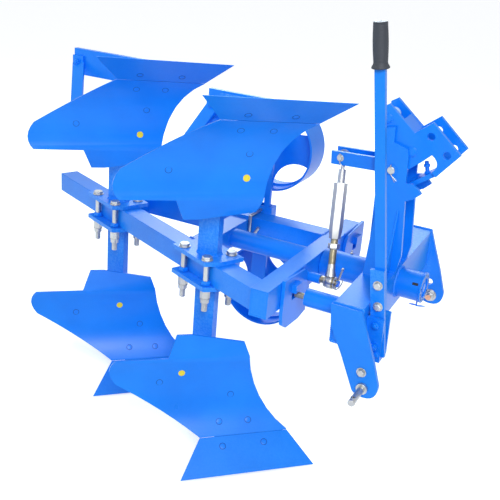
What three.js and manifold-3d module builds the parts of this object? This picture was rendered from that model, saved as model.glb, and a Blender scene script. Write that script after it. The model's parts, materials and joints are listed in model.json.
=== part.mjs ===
// A two-furrow reversible plough for a small tractor, in millimetres, +X forward, +Y left and +Z up.
// The pieces are worked out about the turnover axis. The whole is then moved so that the origin lies
// midway between the two lower link pins.
import * as THREE from "three";
import { mergeVertices } from "three/addons/utils/BufferGeometryUtils.js";
import Module from "manifold-3d";

const wasm = await Module();
wasm.setup();

// Fits
const gap = 0.3; // between fitted faces
const overrun = 20; // how far a cutter reaches past a face
const far = 1500; // reach of a cutter that takes away a whole side

// Angles
const beamAngle = THREE.MathUtils.degToRad(24.5); // diagonal beam to the line of travel
const cutAngle = THREE.MathUtils.degToRad(40.4); // share edge to the line of travel
const levelAngle = THREE.MathUtils.degToRad(4.13); // the rotor rests this far from square
const up = new THREE.Vector3(0, 0, 1);

// Main beam, a square tube on the diagonal, and the row of bodies on it
const beamSide = 60;
const tubeWall = 5;
const beamOffset = 332; // where the beam's line passes beside the turnover axis
const beamRear = 975;
const bodySpacing = 486; // along the beam
const clampX = -232; // front clamp
const underframe = 512; // turnover axis to the share edge

// Cross tubes and the side tube
const crossFront = 19;
const crossDepth = 50;
const tubeHeight = 75;
const crossNear = 361;
const crossFar = 276;
const sideStand = 124.7; // its near face beside the rear clamp's centre
const sideWidth = 60;
const linkBehind = 15.76; // its rear end behind the rear clamp's centre
const linkWidth = 50;
const middleFront = -275;
const middleWidth = 60;

// Turnover shaft and its bearing tube
const shaftRadius = 28;
const bearingRadius = 40;
const bearingFront = 312;
const shaftInside = 4; // from the tube's end to the shaft's
const shaftFront = bearingFront - shaftInside;
const bearingStand = 0.6; // thrust face to the front cross tube

// Crank on the front cross tube, and the turnbuckle's pins
const crankThrow = 122;
const crankBossRadius = 13.5;
const crankBossEnd = 60;
const crankPinX = 87;

// Stop plates
const stopThick = 10;
const stopInner = 131;
const stopWidth = 155;
const stopLow = 104;
const stopHeight = 146;
const blockLength = 11.7;
const blockHeight = 23;
const blockWidth = 36;
const windowWidth = 30;
const windowHeight = 22;

// Clamps and legs
const clampLength = 170;
const clampWidth = 115;
const clampThick = 12;
const boltAlong = 53;
const boltAcross = 40;
const boltRadius = 8;
const boltHead = 10.4;
const boltFlats = 24;
const spacerNut = 26;
const nutHeight = 13;
const boltTail = 25;
const legWidth = 61;
const legThick = 25;
const legBack = 19; // behind the clamp's centre
const legNear = 24; // to the near side of the clamp's centre
const legInWeb = 48; // how far the leg's bar runs down into the frog's web

// Plough body: share, mouldboard, frog, landside and stay
const tipForward = 375; // share tip ahead of the clamp's centre
const tipNear = 4;
const shareLength = 369;
const shareRise = 75;
const shareRun = 84;
const shareThick = 8;
const shareBevel = 16;
const shareEdge = 1.5;
const boardLength = 542;
const boardHeight = 272;
const boardThick = 6;
const boardRadius = 211;
const boardStep = 0.63; // how far the board starts ahead of the share's upper edge
const boardAxis = 290; // below the turnover axis
const boardLap = 14; // straight stretch in the share's plane, cut along the share's top edge
const creaseHeight = 224; // height of the flap's crease
const flapHeight = 165;
const flapRun = 22.4;
const seatThick = 10;
const seatStart = 40;
const seatTop = 335;
const frogThick = 10.7;
const frogFront = 300;
const frogHeight = 140;
const landThick = 15;
const landNear = 6; // from the clamp's centre to the landside's near face
const landHeight = 77;
const landRise = 35; // above the share edge
const landBottom = underframe - landRise;
const landReach = 320;
const landRear = [30, 174]; // behind the clamp's centre, front and rear body
const stayWidth = 36;
const stayThick = 8;
const stayTab = 38;
const tailBoltAlong = 414.6;
const tailBoltHeight = 300;

// Gauge wheels, their arms, bracket and pins
const wheelX = -268;
const wheelRadius = 134;
const wheelHeight = 232; // axle above or below the turnover axis
const wheelStand = 4.8; // wheel to the arms' sleeve
const wheelWidth = 100;
const rimThick = 6;
const webThick = 6;
const hubRadius = 20;
const hubLength = 56;
const axleRadius = 10;
const axleCap = 16;
const axleCapThick = 8;
const windowCount = 3;
const windowRadius = 83; // of the circle that bounds a window towards the hub
const windowCentre = 150; // from the axle to that circle's centre
const windowMargin = 12; // from the tread to a window
const armWidth = 50;
const armThick = 11;
const armStart = 20;
const armPast = 20; // past the axle
const sleeveWall = 5.5;
const sleeveSide = 11.7;
const sleeveHalf = 58;
const slotWidth = 11;
const slotHalf = 36;
const slotRise = 3.5; // slot's middle beyond the pin
const lockPinRadius = 5;
const lockPinHeight = 43.5;
const lockPinReach = 200;
const lockPinBend = 92;
const lockPinLeg = 63;
const lockPinLean = THREE.MathUtils.degToRad(28); // takes the lower leg forward, clear of the upper one

// Headstock: crossbeam with cheeks and lock tube
const headRear = 164;
const headFront = 240;
const headTop = 45;
const headBottom = -65;
const headWall = 8;
const headHalf = 292;
const cheekThick = 10;
const cheekRear = 160;
const cheekWidth = 144;
const cheekHeight = 240;
const linkX = 264;
const linkZ = -166;
const linkPinRadius = 9;
const linkPinReach = 370;
const linkPinInner = 262;
const collarRadius = 15;
const collarThick = 9;
const linchpinInset = 14;
const linchpinRadius = 4;
const spareHoleX = 257;
const spareHoleZ = -122;
const spareHoleRadius = 10;
const lockY = -218;
const lockTubeRadius = 24;
const lockTubeRear = 64;
const lockRadius = 8;
const lockTip = 32;
const lockFront = 272;
const lockCross = 5;
const lockCrossX = 264.3;

// Release lever
const leverPivotX = 275;
const leverPivotZ = -90;
const leverLean = THREE.MathUtils.degToRad(6.75);
const leverTop = 812; // pivot to the top of the bar
const leverWidth = 25;
const leverThick = 12;
const leverAhead = 4; // the bar's middle ahead of its foot's
const leverFoot = 36;
const leverFootThick = 10;
const leverFootTop = 228;
const leverFootBelow = 10;
const leverBarStart = 120;
const leverPinRadius = 6;
const gripCover = 100; // how far it reaches down the bar
const gripStart = leverTop - gripCover;
const gripLength = 103;
const gripRadius = 18;
const gripLip = 21;
const bracketFront = 285;
const bracketTop = 11;
const bracketBottom = -111;
const bracketWall = 8;
const bracketGap = 40.5;
const bracketInset = 20.5; // from the lock bolt's line to the near cheek

// Mast
const mastThick = 10;
const mastInner = 38.5;
const mastRear = 150;
const mastWidth = 130;
const mastHeight = 393;
const braceTop = 225;
const braceFoot = 100;
const braceRear = 168;
const braceFront = 226;
const braceThick = 8;

// Rocker: two arms with a hub, and the top-link plates
const pivotX = 196;
const pivotZ = 326.5;
const pivotRadius = 10;
const pivotReach = 55;
const pivotHead = 14;
const hubOuter = 20;
const hubHalf = 27.2;
const armEndX = 22;
const armEndZ = 319;
const rockerHeight = 36;
const rockerThick = 8;
const rockerInner = 17.5;
const rockerPastPivot = 20;
const linkPlateThick = 10;
const linkPlateInner = 27.5;
const linkPlateRear = 150;
const linkPlateLow = 298;
const linkPlateWidth = 211;
const linkPlateHeight = 193;
const topHoleRadius = 10;
const crossPinRadius = 8;
const spacerBlock = 15;
const stopBarHeight = 12;
const stopBarLength = 78;
const stopBarLean = THREE.MathUtils.degToRad(35);
const stopScrewRadius = 5;
const stopScrewLength = 44;
const stopScrewLean = THREE.MathUtils.degToRad(12);
const forkWidth = 16;
const forkDepth = 16;

// Turnbuckle
const eyeX = 48;
const eyeZ = 322;
const eyePinRadius = 6;
const ballRadius = 11;
const eyeRadius = 15;
const eyeHalf = 5;
const neckRadius = 5.5;
const neckEnd = 38;
const upperRodRadius = 10;
const sleeveStart = 74;
const sleeveLength = 149;
const sleeveTaper = 28;
const sleeveRadius = 18.5;
const sleeveEndRadius = 15.5;
const rodEngage = 40;
const lowerRodRadius = 9.5;
const lockNutFlats = 27;
const lockNutHeight = 13;
const lockNutGap = 13;
const rodEndRadius = 17.5;
const rodEndWidth = 20;
const crankPinRadius = 9;
const crankPinEnd = 112;
const washerRadius = 16;
const washerThick = 3;

// Colours
const blue = 0x2f86f2;
const zinc = 0xc9ccd0;
const yellowZinc = 0xc9bd8a;
const darkGrip = 0x2b3038;
const paint = () => new THREE.MeshStandardMaterial({ color: blue, roughness: 0.35, metalness: 0 });
const plated = () => new THREE.MeshStandardMaterial({ color: zinc, roughness: 0.35, metalness: 1 });
const passivated = () => new THREE.MeshStandardMaterial({ color: yellowZinc, roughness: 0.4, metalness: 1 });
const rubber = () => new THREE.MeshStandardMaterial({ color: darkGrip, roughness: 0.8, metalness: 0 });

// A closed geometry as a solid that can be joined and cut.
function solid(geometry) {
  const bare = new THREE.BufferGeometry();
  bare.setAttribute("position", geometry.getAttribute("position"));
  if (geometry.index) bare.setIndex(geometry.index);
  const merged = mergeVertices(bare);
  const vertProperties = new Float32Array(merged.attributes.position.array);
  const triVerts = new Uint32Array(merged.index.array);
  return new wasm.Manifold(new wasm.Mesh({ numProp: 3, vertProperties, triVerts }));
}

function meshOf(name, body, material) {
  const data = body.getMesh();
  const geometry = new THREE.BufferGeometry();
  geometry.setAttribute("position", new THREE.BufferAttribute(new Float32Array(data.vertProperties), 3));
  geometry.setIndex(new THREE.BufferAttribute(new Uint32Array(data.triVerts), 1));
  geometry.computeVertexNormals();
  const mesh = new THREE.Mesh(geometry, material);
  mesh.name = name;
  return mesh;
}

function moved(body, matrix) {
  return body.transform(matrix.elements);
}

const shift = (x, y, z) => new THREE.Matrix4().makeTranslation(x, y, z);
const turnZ = (angle) => new THREE.Matrix4().makeRotationZ(angle);

function block(x0, x1, y0, y1, z0, z1) {
  const geometry = new THREE.BoxGeometry(x1 - x0, y1 - y0, z1 - z0);
  geometry.translate((x0 + x1) / 2, (y0 + y1) / 2, (z0 + z1) / 2);
  return solid(geometry);
}

// A round or many-sided bar from one point to another, with its own radius at each end.
function cone(from, to, radiusFrom, radiusTo, sides) {
  const axis = new THREE.Vector3().subVectors(to, from);
  const geometry = new THREE.CylinderGeometry(radiusTo, radiusFrom, axis.length(), sides);
  const along = axis.clone().normalize();
  const turn = new THREE.Quaternion().setFromUnitVectors(new THREE.Vector3(0, 1, 0), along);
  geometry.applyQuaternion(turn);
  geometry.translate((from.x + to.x) / 2, (from.y + to.y) / 2, (from.z + to.z) / 2);
  return solid(geometry);
}

const rod = (from, to, radius, sides = 16) => cone(from, to, radius, radius, sides);
const point = (x, y, z) => new THREE.Vector3(x, y, z);
const rodX = (x0, x1, y, z, radius, sides) => rod(point(x0, y, z), point(x1, y, z), radius, sides);
const rodY = (y0, y1, x, z, radius, sides) => rod(point(x, y0, z), point(x, y1, z), radius, sides);
const hexRadius = (flats) => flats / Math.sqrt(3);

// A flat bar between two points: width lies towards the hint, thickness across it.
function flatBar(from, to, width, thickness, hint) {
  const axis = new THREE.Vector3().subVectors(to, from);
  const along = axis.clone().normalize();
  const high = hint.clone().addScaledVector(along, -hint.dot(along)).normalize();
  const across = new THREE.Vector3().crossVectors(high, along);
  const middle = from.clone().addScaledVector(axis, 1 / 2);
  const frame = new THREE.Matrix4().makeBasis(along, across, high).setPosition(middle);
  const geometry = new THREE.BoxGeometry(axis.length(), thickness, width);
  return moved(solid(geometry), frame);
}

// An outline from rows of shares: two numbers end a line, four hold a control point and a curve's end.
function outline(shares, lowX, lowY, width, height) {
  const at = (u, v) => [lowX + u * width, lowY + v * height];
  const shape = new THREE.Shape();
  shape.moveTo(...at(...shares[0]));
  for (const row of shares.slice(1)) {
    if (row.length === 2) shape.lineTo(...at(...row));
    else shape.quadraticCurveTo(...at(row[0], row[1]), ...at(row[2], row[3]));
  }
  return shape;
}

const polygon = (points) => new THREE.Shape(points.map((p) => new THREE.Vector2(...p)));
const curveSteps = 6;

function extruded(shape, depth) {
  return new THREE.ExtrudeGeometry(shape, { depth, bevelEnabled: false, curveSegments: curveSteps });
}

// Plates standing in the XZ plane, from y0 to y1, and in the YZ plane, from x0 to x1.
function plateXZ(shape, y0, y1) {
  const geometry = extruded(shape, y1 - y0);
  geometry.rotateX(Math.PI / 2);
  geometry.translate(0, y1, 0);
  return solid(geometry);
}

function plateYZ(shape, x0, x1) {
  const geometry = extruded(shape, x1 - x0);
  geometry.rotateX(Math.PI / 2);
  geometry.rotateZ(Math.PI / 2);
  geometry.translate(x0, 0, 0);
  return solid(geometry);
}

// Square and rectangular tubes, open at both ends.
function tubeX(x0, x1, y0, y1, half, wall) {
  const hollow = block(x0 - overrun, x1 + overrun, y0 + wall, y1 - wall, wall - half, half - wall);
  return block(x0, x1, y0, y1, -half, half).subtract(hollow);
}

function tubeY(y0, y1, x0, x1, half, wall) {
  const hollow = block(x0 + wall, x1 - wall, y0 - overrun, y1 + overrun, wall - half, half - wall);
  return block(x0, x1, y0, y1, -half, half).subtract(hollow);
}

const mirrorY = new THREE.Matrix4().makeScale(1, -1, 1);
const plough = new THREE.Group();
plough.position.set(-linkX, 0, -linkZ);
const rotor = new THREE.Group();
rotor.rotation.x = -levelAngle;
const headstock = new THREE.Group();
plough.add(rotor, headstock);

// The diagonal beam lies along its own X axis, through the row of clamps.
const clampY = -beamOffset - clampX * Math.tan(beamAngle);
const rearClampX = clampX - bodySpacing * Math.cos(beamAngle);
const rearClampY = clampY + bodySpacing * Math.sin(beamAngle);
const sideNear = rearClampY + sideStand;
const sideRear = linkBehind - rearClampX;
const beamFrame = shift(clampX, clampY, 0).multiply(turnZ(-beamAngle));
const crossRear = crossFront - crossDepth;
const beamBack = (beamRear + clampX) / Math.cos(beamAngle);
const beamHalf = beamSide / 2;
const beamEnvelope = (margin) =>
  moved(block(-far, far, -beamHalf - margin, beamHalf + margin, -far, far), beamFrame);

function mainBeam() {
  const tube = moved(tubeX(-beamBack, far, -beamHalf, beamHalf, beamHalf, tubeWall), beamFrame);
  return tube.subtract(block(crossRear - gap, 2 * far, -far, far, -far, far));
}
rotor.add(meshOf("diagonal_beam", mainBeam(), paint()));

function frontCrossTube() {
  const half = tubeHeight / 2;
  const boss = rodX(crossFront - tubeWall / 2, crankBossEnd, -crankThrow, 0, crankBossRadius, 20);
  const bore = rodX(crossRear - overrun, crossFront + overrun, 0, 0, shaftRadius + gap, 32);
  return tubeY(-crossNear, crossFar, crossRear, crossFront, half, tubeWall).add(boss).subtract(bore);
}
rotor.add(meshOf("front_cross_tube", frontCrossTube(), paint()));

// Side tube behind the front cross tube, with the link that joins its rear end to the beam.
function sideTube() {
  const half = tubeHeight / 2;
  const side = tubeX(-sideRear, crossRear - gap, sideNear, sideNear + sideWidth, half, tubeWall);
  const link = tubeY(-far, sideNear + tubeWall / 2, -sideRear, linkWidth - sideRear, beamHalf, tubeWall);
  const nearSide = moved(block(-far, far, -far, beamHalf + gap, -far, far), beamFrame);
  return side.add(link.subtract(nearSide));
}
rotor.add(meshOf("side_tube", sideTube(), paint()));

function middleCrossTube() {
  const tube = tubeY(-far, sideNear - gap, middleFront - middleWidth, middleFront, beamHalf, tubeWall);
  return tube.subtract(moved(block(-far, far, -far, beamHalf + gap, -far, far), beamFrame));
}
rotor.add(meshOf("middle_cross_tube", middleCrossTube(), paint()));
rotor.add(meshOf("turnover_shaft", rodX(middleFront + gap, shaftFront, 0, 0, shaftRadius, 32), paint()));

// Stop plates on the front cross tube. The block of the near one rests on the lock bolt, and the far
// one's comes to lie under it when the rotor has turned over.
const stopShares = [
  [0.013, 1],
  [0.832, 0.945],
  [0.923, 0.863],
  [0.955, 0.712],
  [0.955, 0.575],
  [1, 0.055],
  [0.69, 0],
  [0.2, 0.027],
  [0.045, 0.137],
  [0, 0.356],
];
const lockDrop = lockY * Math.sin(levelAngle); // the bolt's line as the tilted rotor sees it

function stopPlate() {
  const front = crossFront + gap;
  const face = front + stopThick;
  const edge = outline(stopShares, -stopInner - stopWidth, -stopLow, stopWidth, stopHeight);
  const plate = plateYZ(edge, front, face);
  const y0 = lockY - blockWidth / 2;
  const y1 = lockY + blockWidth / 2;
  const low = lockDrop + lockRadius + 2 * gap;
  const rest = block(front, face + blockLength, y0, y1, low, low + blockHeight);
  const half = windowWidth / 2;
  const window = block(front - overrun, face + overrun, lockY - half, lockY + half, low - windowHeight, low);
  const boss = rodX(0, face + overrun, -crankThrow, 0, crankBossRadius + 2 * gap, 20);
  return plate.subtract(window).add(rest).subtract(boss);
}
rotor.add(meshOf("stop_plate_near", stopPlate(), paint()));
const farStop = meshOf("stop_plate_far", stopPlate(), paint());
farStop.scale.y = -1;
rotor.add(farStop);

// One plough body, drawn as a lower one about the centre of its clamp.
const cutFrame = shift(tipForward, -tipNear, 0).multiply(turnZ(Math.PI + cutAngle));
const shareSlope = Math.atan2(shareRise, shareRun);
const shareWidth = Math.hypot(shareRise, shareRun);
const shareJoint = shareRise - underframe;
const arcSteps = 10;
const boardCentre = Math.sqrt(boardRadius ** 2 - (shareJoint + boardAxis) ** 2) - shareRun + boardStep;
const arcTop = Math.asin((boardAxis - creaseHeight) / boardRadius);

// Points of the section across the cutting edge: depth is behind the edge, drawn towards -Y.
const onShare = (along, behind) => [
  -(along * Math.cos(shareSlope) + behind * Math.sin(shareSlope)),
  -underframe + along * Math.sin(shareSlope) - behind * Math.cos(shareSlope),
];

function arcPoints(radius, fromHeight, toHeight) {
  const start = Math.asin((fromHeight + boardAxis) / radius);
  const end = Math.asin((toHeight + boardAxis) / radius);
  return Array.from({ length: arcSteps + 1 }, (_, i) => {
    const angle = start + ((end - start) * i) / arcSteps;
    return [boardCentre - radius * Math.cos(angle), -boardAxis + radius * Math.sin(angle)];
  });
}

// The share's face, with its tip first and its heel last.
const shareShares = [
  [-0.014, 0.1],
  [0.16, 1],
  [0.832, 0.925],
  [1, -0.06],
];

// A flat plate in the share's own plane, ground on its back to a thin edge.
function share() {
  const plate = solid(extruded(outline(shareShares, 0, 0, shareLength, shareWidth), shareThick));
  const [tip, heel] = [shareShares[0], shareShares[3]].map(([u, v]) => [u * shareLength, v * shareWidth]);
  const rise = shareThick - shareEdge;
  const ground = polygon([
    [-shareBevel, shareEdge - rise],
    [2 * shareBevel, shareEdge + 2 * rise],
    [-shareBevel, shareEdge + 2 * rise],
  ]);
  const edgeLine = shift(tip[0], tip[1], 0).multiply(turnZ(Math.atan2(heel[1] - tip[1], heel[0] - tip[0])));
  const wedge = moved(plateYZ(ground, -overrun, shareLength + 2 * overrun), edgeLine);
  const cos = Math.cos(shareSlope);
  const sin = Math.sin(shareSlope);
  const plane = new THREE.Matrix4().makeBasis(point(1, 0, 0), point(0, -cos, sin), point(0, -sin, -cos));
  plane.setPosition(0, 0, -underframe);
  return moved(plate.subtract(wedge), cutFrame.clone().multiply(plane));
}

const boardShares = [
  [0.109, 0],
  [0.277, 0.21, 0.3155, 0.783],
  [0.341, 0.915],
  [0.679, 1.02],
  [0.727, 0.783],
  [0.986, 0.779],
  [1.045, 0.66, 0.982, 0.5],
  [0.5665, -0.0207],
];

function mouldboard() {
  const front = [onShare(shareWidth - boardLap, 0), ...arcPoints(boardRadius, shareJoint, -creaseHeight)];
  const low = onShare(shareWidth - boardLap, boardThick);
  const back = [low, ...arcPoints(boardRadius + boardThick, shareJoint, -creaseHeight)];
  const creaseDepth = front[arcSteps + 1][0];
  const flap = [creaseDepth - flapRun, -flapHeight];
  const section = polygon([...front, flap, [flap[0] - boardThick, flap[1]], ...back.reverse()]);
  const edge = outline(boardShares, 0, shareJoint + gap, boardLength, boardHeight);
  const shell = plateYZ(section, 0, boardLength + overrun);
  return moved(shell.intersect(plateXZ(edge, -far, far)), cutFrame);
}

// Everything ahead of the backs of the share and the mouldboard, less a gap.
function aheadOfBacks() {
  const back = arcPoints(boardRadius + boardThick + gap, shareJoint, -creaseHeight);
  const flapBack = [back[arcSteps][0] - flapRun - gap, -flapHeight];
  const low = onShare(-shareWidth, shareThick + gap);
  const section = polygon([
    low,
    onShare(shareWidth, shareThick + gap),
    ...back,
    flapBack,
    [flapBack[0], 0],
    [underframe, 0],
    [underframe, low[1]],
  ]);
  return moved(plateYZ(section, -far, far), cutFrame);
}

const frogShares = [
  [0, 1],
  [0, 0.5],
  [0.09, 0.46],
  [0.09, 0],
  [1, 0],
  [1, 0.3],
  [0.6, 1],
];
const seatShares = [
  [0.19, -1],
  [0.18, 0.12],
  [0.3, 0.75],
  [0.35, 1.5],
  [0.44, 1.5],
  [0.49, 0.4],
  [0.48, -1],
];

// Leg, clamp plate and frog, welded together.
function leg() {
  const legX0 = -legBack;
  const plateTop = -beamHalf - gap;
  const plateBottom = plateTop - clampThick;
  const half = clampLength / 2;
  const side = clampWidth / 2;
  let plate = moved(block(-half, half, -side, side, plateBottom, plateTop), turnZ(-beamAngle));
  for (const a of [-boltAlong, boltAlong]) {
    for (const b of [-boltAcross, boltAcross]) {
      const top = point(a, b, plateTop + overrun);
      const hole = rod(top, point(a, b, plateBottom - overrun), boltRadius + 2 * gap);
      plate = plate.subtract(moved(hole, turnZ(-beamAngle)));
    }
  }
  const barTop = plateBottom + clampThick / 2;
  const legBottom = landBottom - frogHeight + legInWeb;
  const bar = block(legX0, legX0 + legWidth, -legNear, legThick - legNear, -legBottom, barTop);
  const webTop = -landBottom + frogHeight;
  const webY = landNear - gap;
  const webShape = outline(frogShares, legX0, -landBottom + tubeWall, frogFront, frogHeight);
  const web = plateXZ(webShape, webY - frogThick, webY);
  const seatBack = boardRadius + boardThick + gap + seatThick;
  const section = polygon([
    onShare(seatStart, shareThick),
    onShare(shareWidth, shareThick),
    ...arcPoints(boardRadius + boardThick, shareJoint, -seatTop),
    ...arcPoints(seatBack, shareJoint, -seatTop).reverse(),
    onShare(shareWidth, shareThick + gap + seatThick),
    onShare(seatStart, shareThick + gap + seatThick),
  ]);
  const seatEdge = outline(seatShares, 0, shareJoint, boardLength, -webTop);
  const seat = moved(plateYZ(section, 0, boardLength).intersect(plateXZ(seatEdge, -far, far)), cutFrame);
  const landside = block(-far, far, webY, far, -far, -creaseHeight);
  return plate.add(bar).add(web).add(seat).subtract(aheadOfBacks()).subtract(landside);
}

function landside(rear) {
  const shape = polygon([
    [-rear, -landBottom],
    [landReach, -landBottom],
    [landReach, landHeight - landBottom],
    [-rear, landHeight - landBottom],
  ]);
  return plateXZ(shape, landNear, landNear + landThick).subtract(aheadOfBacks());
}

// Stay from the landside's rear end to the back of the mouldboard's tail.
function stay(rear) {
  const face = landNear - gap;
  const low = -landBottom + landHeight / 2 - stayTab / 2;
  const landTab = block(-rear, stayTab - rear, face - stayThick, face, low, low + stayTab);
  const depth = boardRadius + boardThick - boardCentre + gap;
  const half = stayTab / 2;
  const tailLow = -tailBoltHeight - half;
  const [tail0, tail1] = [tailBoltAlong - half, tailBoltAlong + half];
  const tail = block(tail0, tail1, -depth - stayThick, -depth, tailLow, tailLow + stayTab);
  const from = point(half - rear, face - stayThick / 2, low + half);
  const to = point(tailBoltAlong, -depth - stayThick / 2, -tailBoltHeight).applyMatrix4(cutFrame);
  const beyond = block(-far, far, face, far, -far, far);
  const bar = flatBar(from, to, stayWidth, stayThick, point(1, 0, 0)).subtract(beyond);
  return landTab.add(moved(tail, cutFrame)).add(bar.subtract(aheadOfBacks()));
}

function clampBolt() {
  const top = beamHalf + gap + clampThick + gap;
  const at = (z) => point(0, 0, z);
  const head = rod(at(top), at(top + boltHead), hexRadius(boltFlats), 6);
  const shank = rod(at(-top - spacerNut - nutHeight - boltTail), at(top + boltHead / 2), boltRadius, 12);
  const spacer = rod(at(-top - spacerNut), at(-top), hexRadius(boltFlats), 6);
  const nut = rod(at(-top - spacerNut - nutHeight), at(-top - spacerNut), boltFlats / 2, 12);
  return head.add(shank).add(spacer).add(nut);
}

const rows = ["front", "rear"];
rows.forEach((row, i) => {
  const station = new THREE.Group();
  const along = i * bodySpacing;
  station.position.set(clampX - along * Math.cos(beamAngle), clampY + along * Math.sin(beamAngle), 0);
  for (const level of ["lower", "upper"]) {
    const body = new THREE.Group();
    body.scale.z = level === "lower" ? 1 : -1;
    body.add(meshOf(`leg_${level}_${row}`, leg(), paint()));
    body.add(meshOf(`share_${level}_${row}`, share(), paint()));
    body.add(meshOf(`mouldboard_${level}_${row}`, mouldboard(), paint()));
    body.add(meshOf(`landside_${level}_${row}`, landside(landRear[i]), paint()));
    body.add(meshOf(`stay_${level}_${row}`, stay(landRear[i]), paint()));
    station.add(body);
  }
  let count = 0;
  for (const a of [-boltAlong, boltAlong]) {
    for (const b of [-boltAcross, boltAcross]) {
      count += 1;
      const bolt = meshOf(`clamp_bolt_${row}_${count}`, clampBolt(), plated());
      bolt.position.set(a, b, 0).applyMatrix4(turnZ(-beamAngle));
      station.add(bolt);
    }
  }
  rotor.add(station);
});

// Gauge wheels on slotted arms, which slide in a sleeve on the side tube.
const sleeveNear = sideNear + sideWidth + gap;
const upperArmY = sleeveNear + sleeveWall + gap;
const lowerArmY = upperArmY + armThick + gap;
const sleeveInner = lowerArmY + armThick + gap;
const sleeveFar = sleeveInner + sleeveWall;
const armHalf = armWidth / 2;
const wheelNear = sleeveFar + wheelStand;

function wheelSleeve() {
  const side = armHalf + gap + sleeveSide;
  const outer = block(wheelX - side, wheelX + side, sleeveNear, sleeveFar, -sleeveHalf, sleeveHalf);
  const x0 = wheelX - armHalf - gap;
  const x1 = wheelX + armHalf + gap;
  const channel = block(x0, x1, upperArmY - gap, sleeveInner, -sleeveHalf - overrun, sleeveHalf + overrun);
  const holes = [lockPinHeight, -lockPinHeight].map((z) =>
    rodY(sleeveNear - overrun, sleeveFar + overrun, wheelX, z, lockPinRadius + gap, 12),
  );
  return outer.subtract(channel).subtract(holes[0]).subtract(holes[1]);
}
rotor.add(meshOf("wheel_bracket", wheelSleeve(), paint()));

// An arm drawn upright, with its slot at the locking pin and its axle through the wheel's hub.
function wheelArm(nearFace) {
  const armTop = wheelHeight + armPast;
  const bar = block(wheelX - armHalf, wheelX + armHalf, nearFace, nearFace + armThick, -armStart, armTop);
  const half = slotWidth / 2;
  const slot = block(
    wheelX - half,
    wheelX + half,
    nearFace - overrun,
    nearFace + armThick + overrun,
    lockPinHeight + slotRise - slotHalf,
    lockPinHeight + slotRise + slotHalf,
  );
  const hubFar = wheelNear + wheelWidth / 2 + hubLength / 2;
  const axle = rodY(nearFace + armThick / 2, hubFar + gap, wheelX, wheelHeight, axleRadius, 20);
  const cap = rodY(hubFar + gap, hubFar + gap + axleCapThick, wheelX, wheelHeight, axleCap, 20);
  return bar.subtract(slot).add(axle).add(cap);
}
rotor.add(meshOf("wheel_arm_upper", wheelArm(upperArmY), paint()));
const lowerArm = meshOf("wheel_arm_lower", wheelArm(lowerArmY), paint());
lowerArm.scale.z = -1;
rotor.add(lowerArm);

// A window in the wheel's web: a lens between the rim's circle and a second circle.
function wheelWindow(angle) {
  const x = wheelX + windowCentre * Math.cos(angle);
  const z = wheelHeight + windowCentre * Math.sin(angle);
  const y0 = wheelNear + wheelWidth / 2 - overrun;
  const y1 = wheelNear + wheelWidth / 2 + overrun;
  const inside = rodY(y0, y1, wheelX, wheelHeight, wheelRadius - windowMargin, 48);
  return rodY(y0, y1, x, z, windowRadius, 32).intersect(inside);
}

function gaugeWheel() {
  const middle = wheelNear + wheelWidth / 2;
  const rimFar = wheelNear + wheelWidth;
  const rim = rodY(wheelNear, rimFar, wheelX, wheelHeight, wheelRadius, 48);
  const inside = rodY(wheelNear - overrun, rimFar + overrun, wheelX, wheelHeight, wheelRadius - rimThick, 48);
  const y0 = middle - webThick / 2;
  let web = rodY(y0, y0 + webThick, wheelX, wheelHeight, wheelRadius - rimThick / 2, 48);
  for (let i = 0; i < windowCount; i += 1) {
    web = web.subtract(wheelWindow(Math.PI / windowCount + (2 * Math.PI * i) / windowCount));
  }
  const hub = rodY(middle - hubLength / 2, middle + hubLength / 2, wheelX, wheelHeight, hubRadius, 24);
  const bore = rodY(wheelNear - overrun, rimFar + overrun, wheelX, wheelHeight, axleRadius + gap, 20);
  return rim.subtract(inside).add(web).add(hub).subtract(bore);
}
rotor.add(meshOf("gauge_wheel_upper", gaugeWheel(), paint()));
const lowerWheel = meshOf("gauge_wheel_lower", gaugeWheel(), paint());
lowerWheel.scale.z = -1;
rotor.add(lowerWheel);

function lockingPin(lean) {
  const bend = point(wheelX, lockPinBend, lockPinHeight);
  const foot = bend.clone().add(point(lockPinLeg * Math.sin(lean), 0, -lockPinLeg * Math.cos(lean)));
  const corner = new THREE.SphereGeometry(lockPinRadius, 12, 8);
  corner.translate(...bend.toArray());
  const straight = rodY(lockPinBend, lockPinReach, wheelX, lockPinHeight, lockPinRadius, 12);
  return straight.add(solid(corner)).add(rod(bend, foot, lockPinRadius, 12));
}
rotor.add(meshOf("locking_pin_upper", lockingPin(0), plated()));
const lowerPin = meshOf("locking_pin_lower", lockingPin(lockPinLean), plated());
lowerPin.scale.z = -1;
rotor.add(lowerPin);

// Headstock: crossbeam, cheeks and lock tube in one weldment.
const cheekShares = [
  [0, 1],
  [0.556, 1],
  [0.701, 0.746],
  [0.854, 0.4875],
  [1, 0.1875],
  [1.01, 0, 0.74, 0],
  [0.6, 0, 0.53, 0.05],
  [0.264, 0.446],
  [0.028, 0.746],
  [0, 0.954],
];

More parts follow.
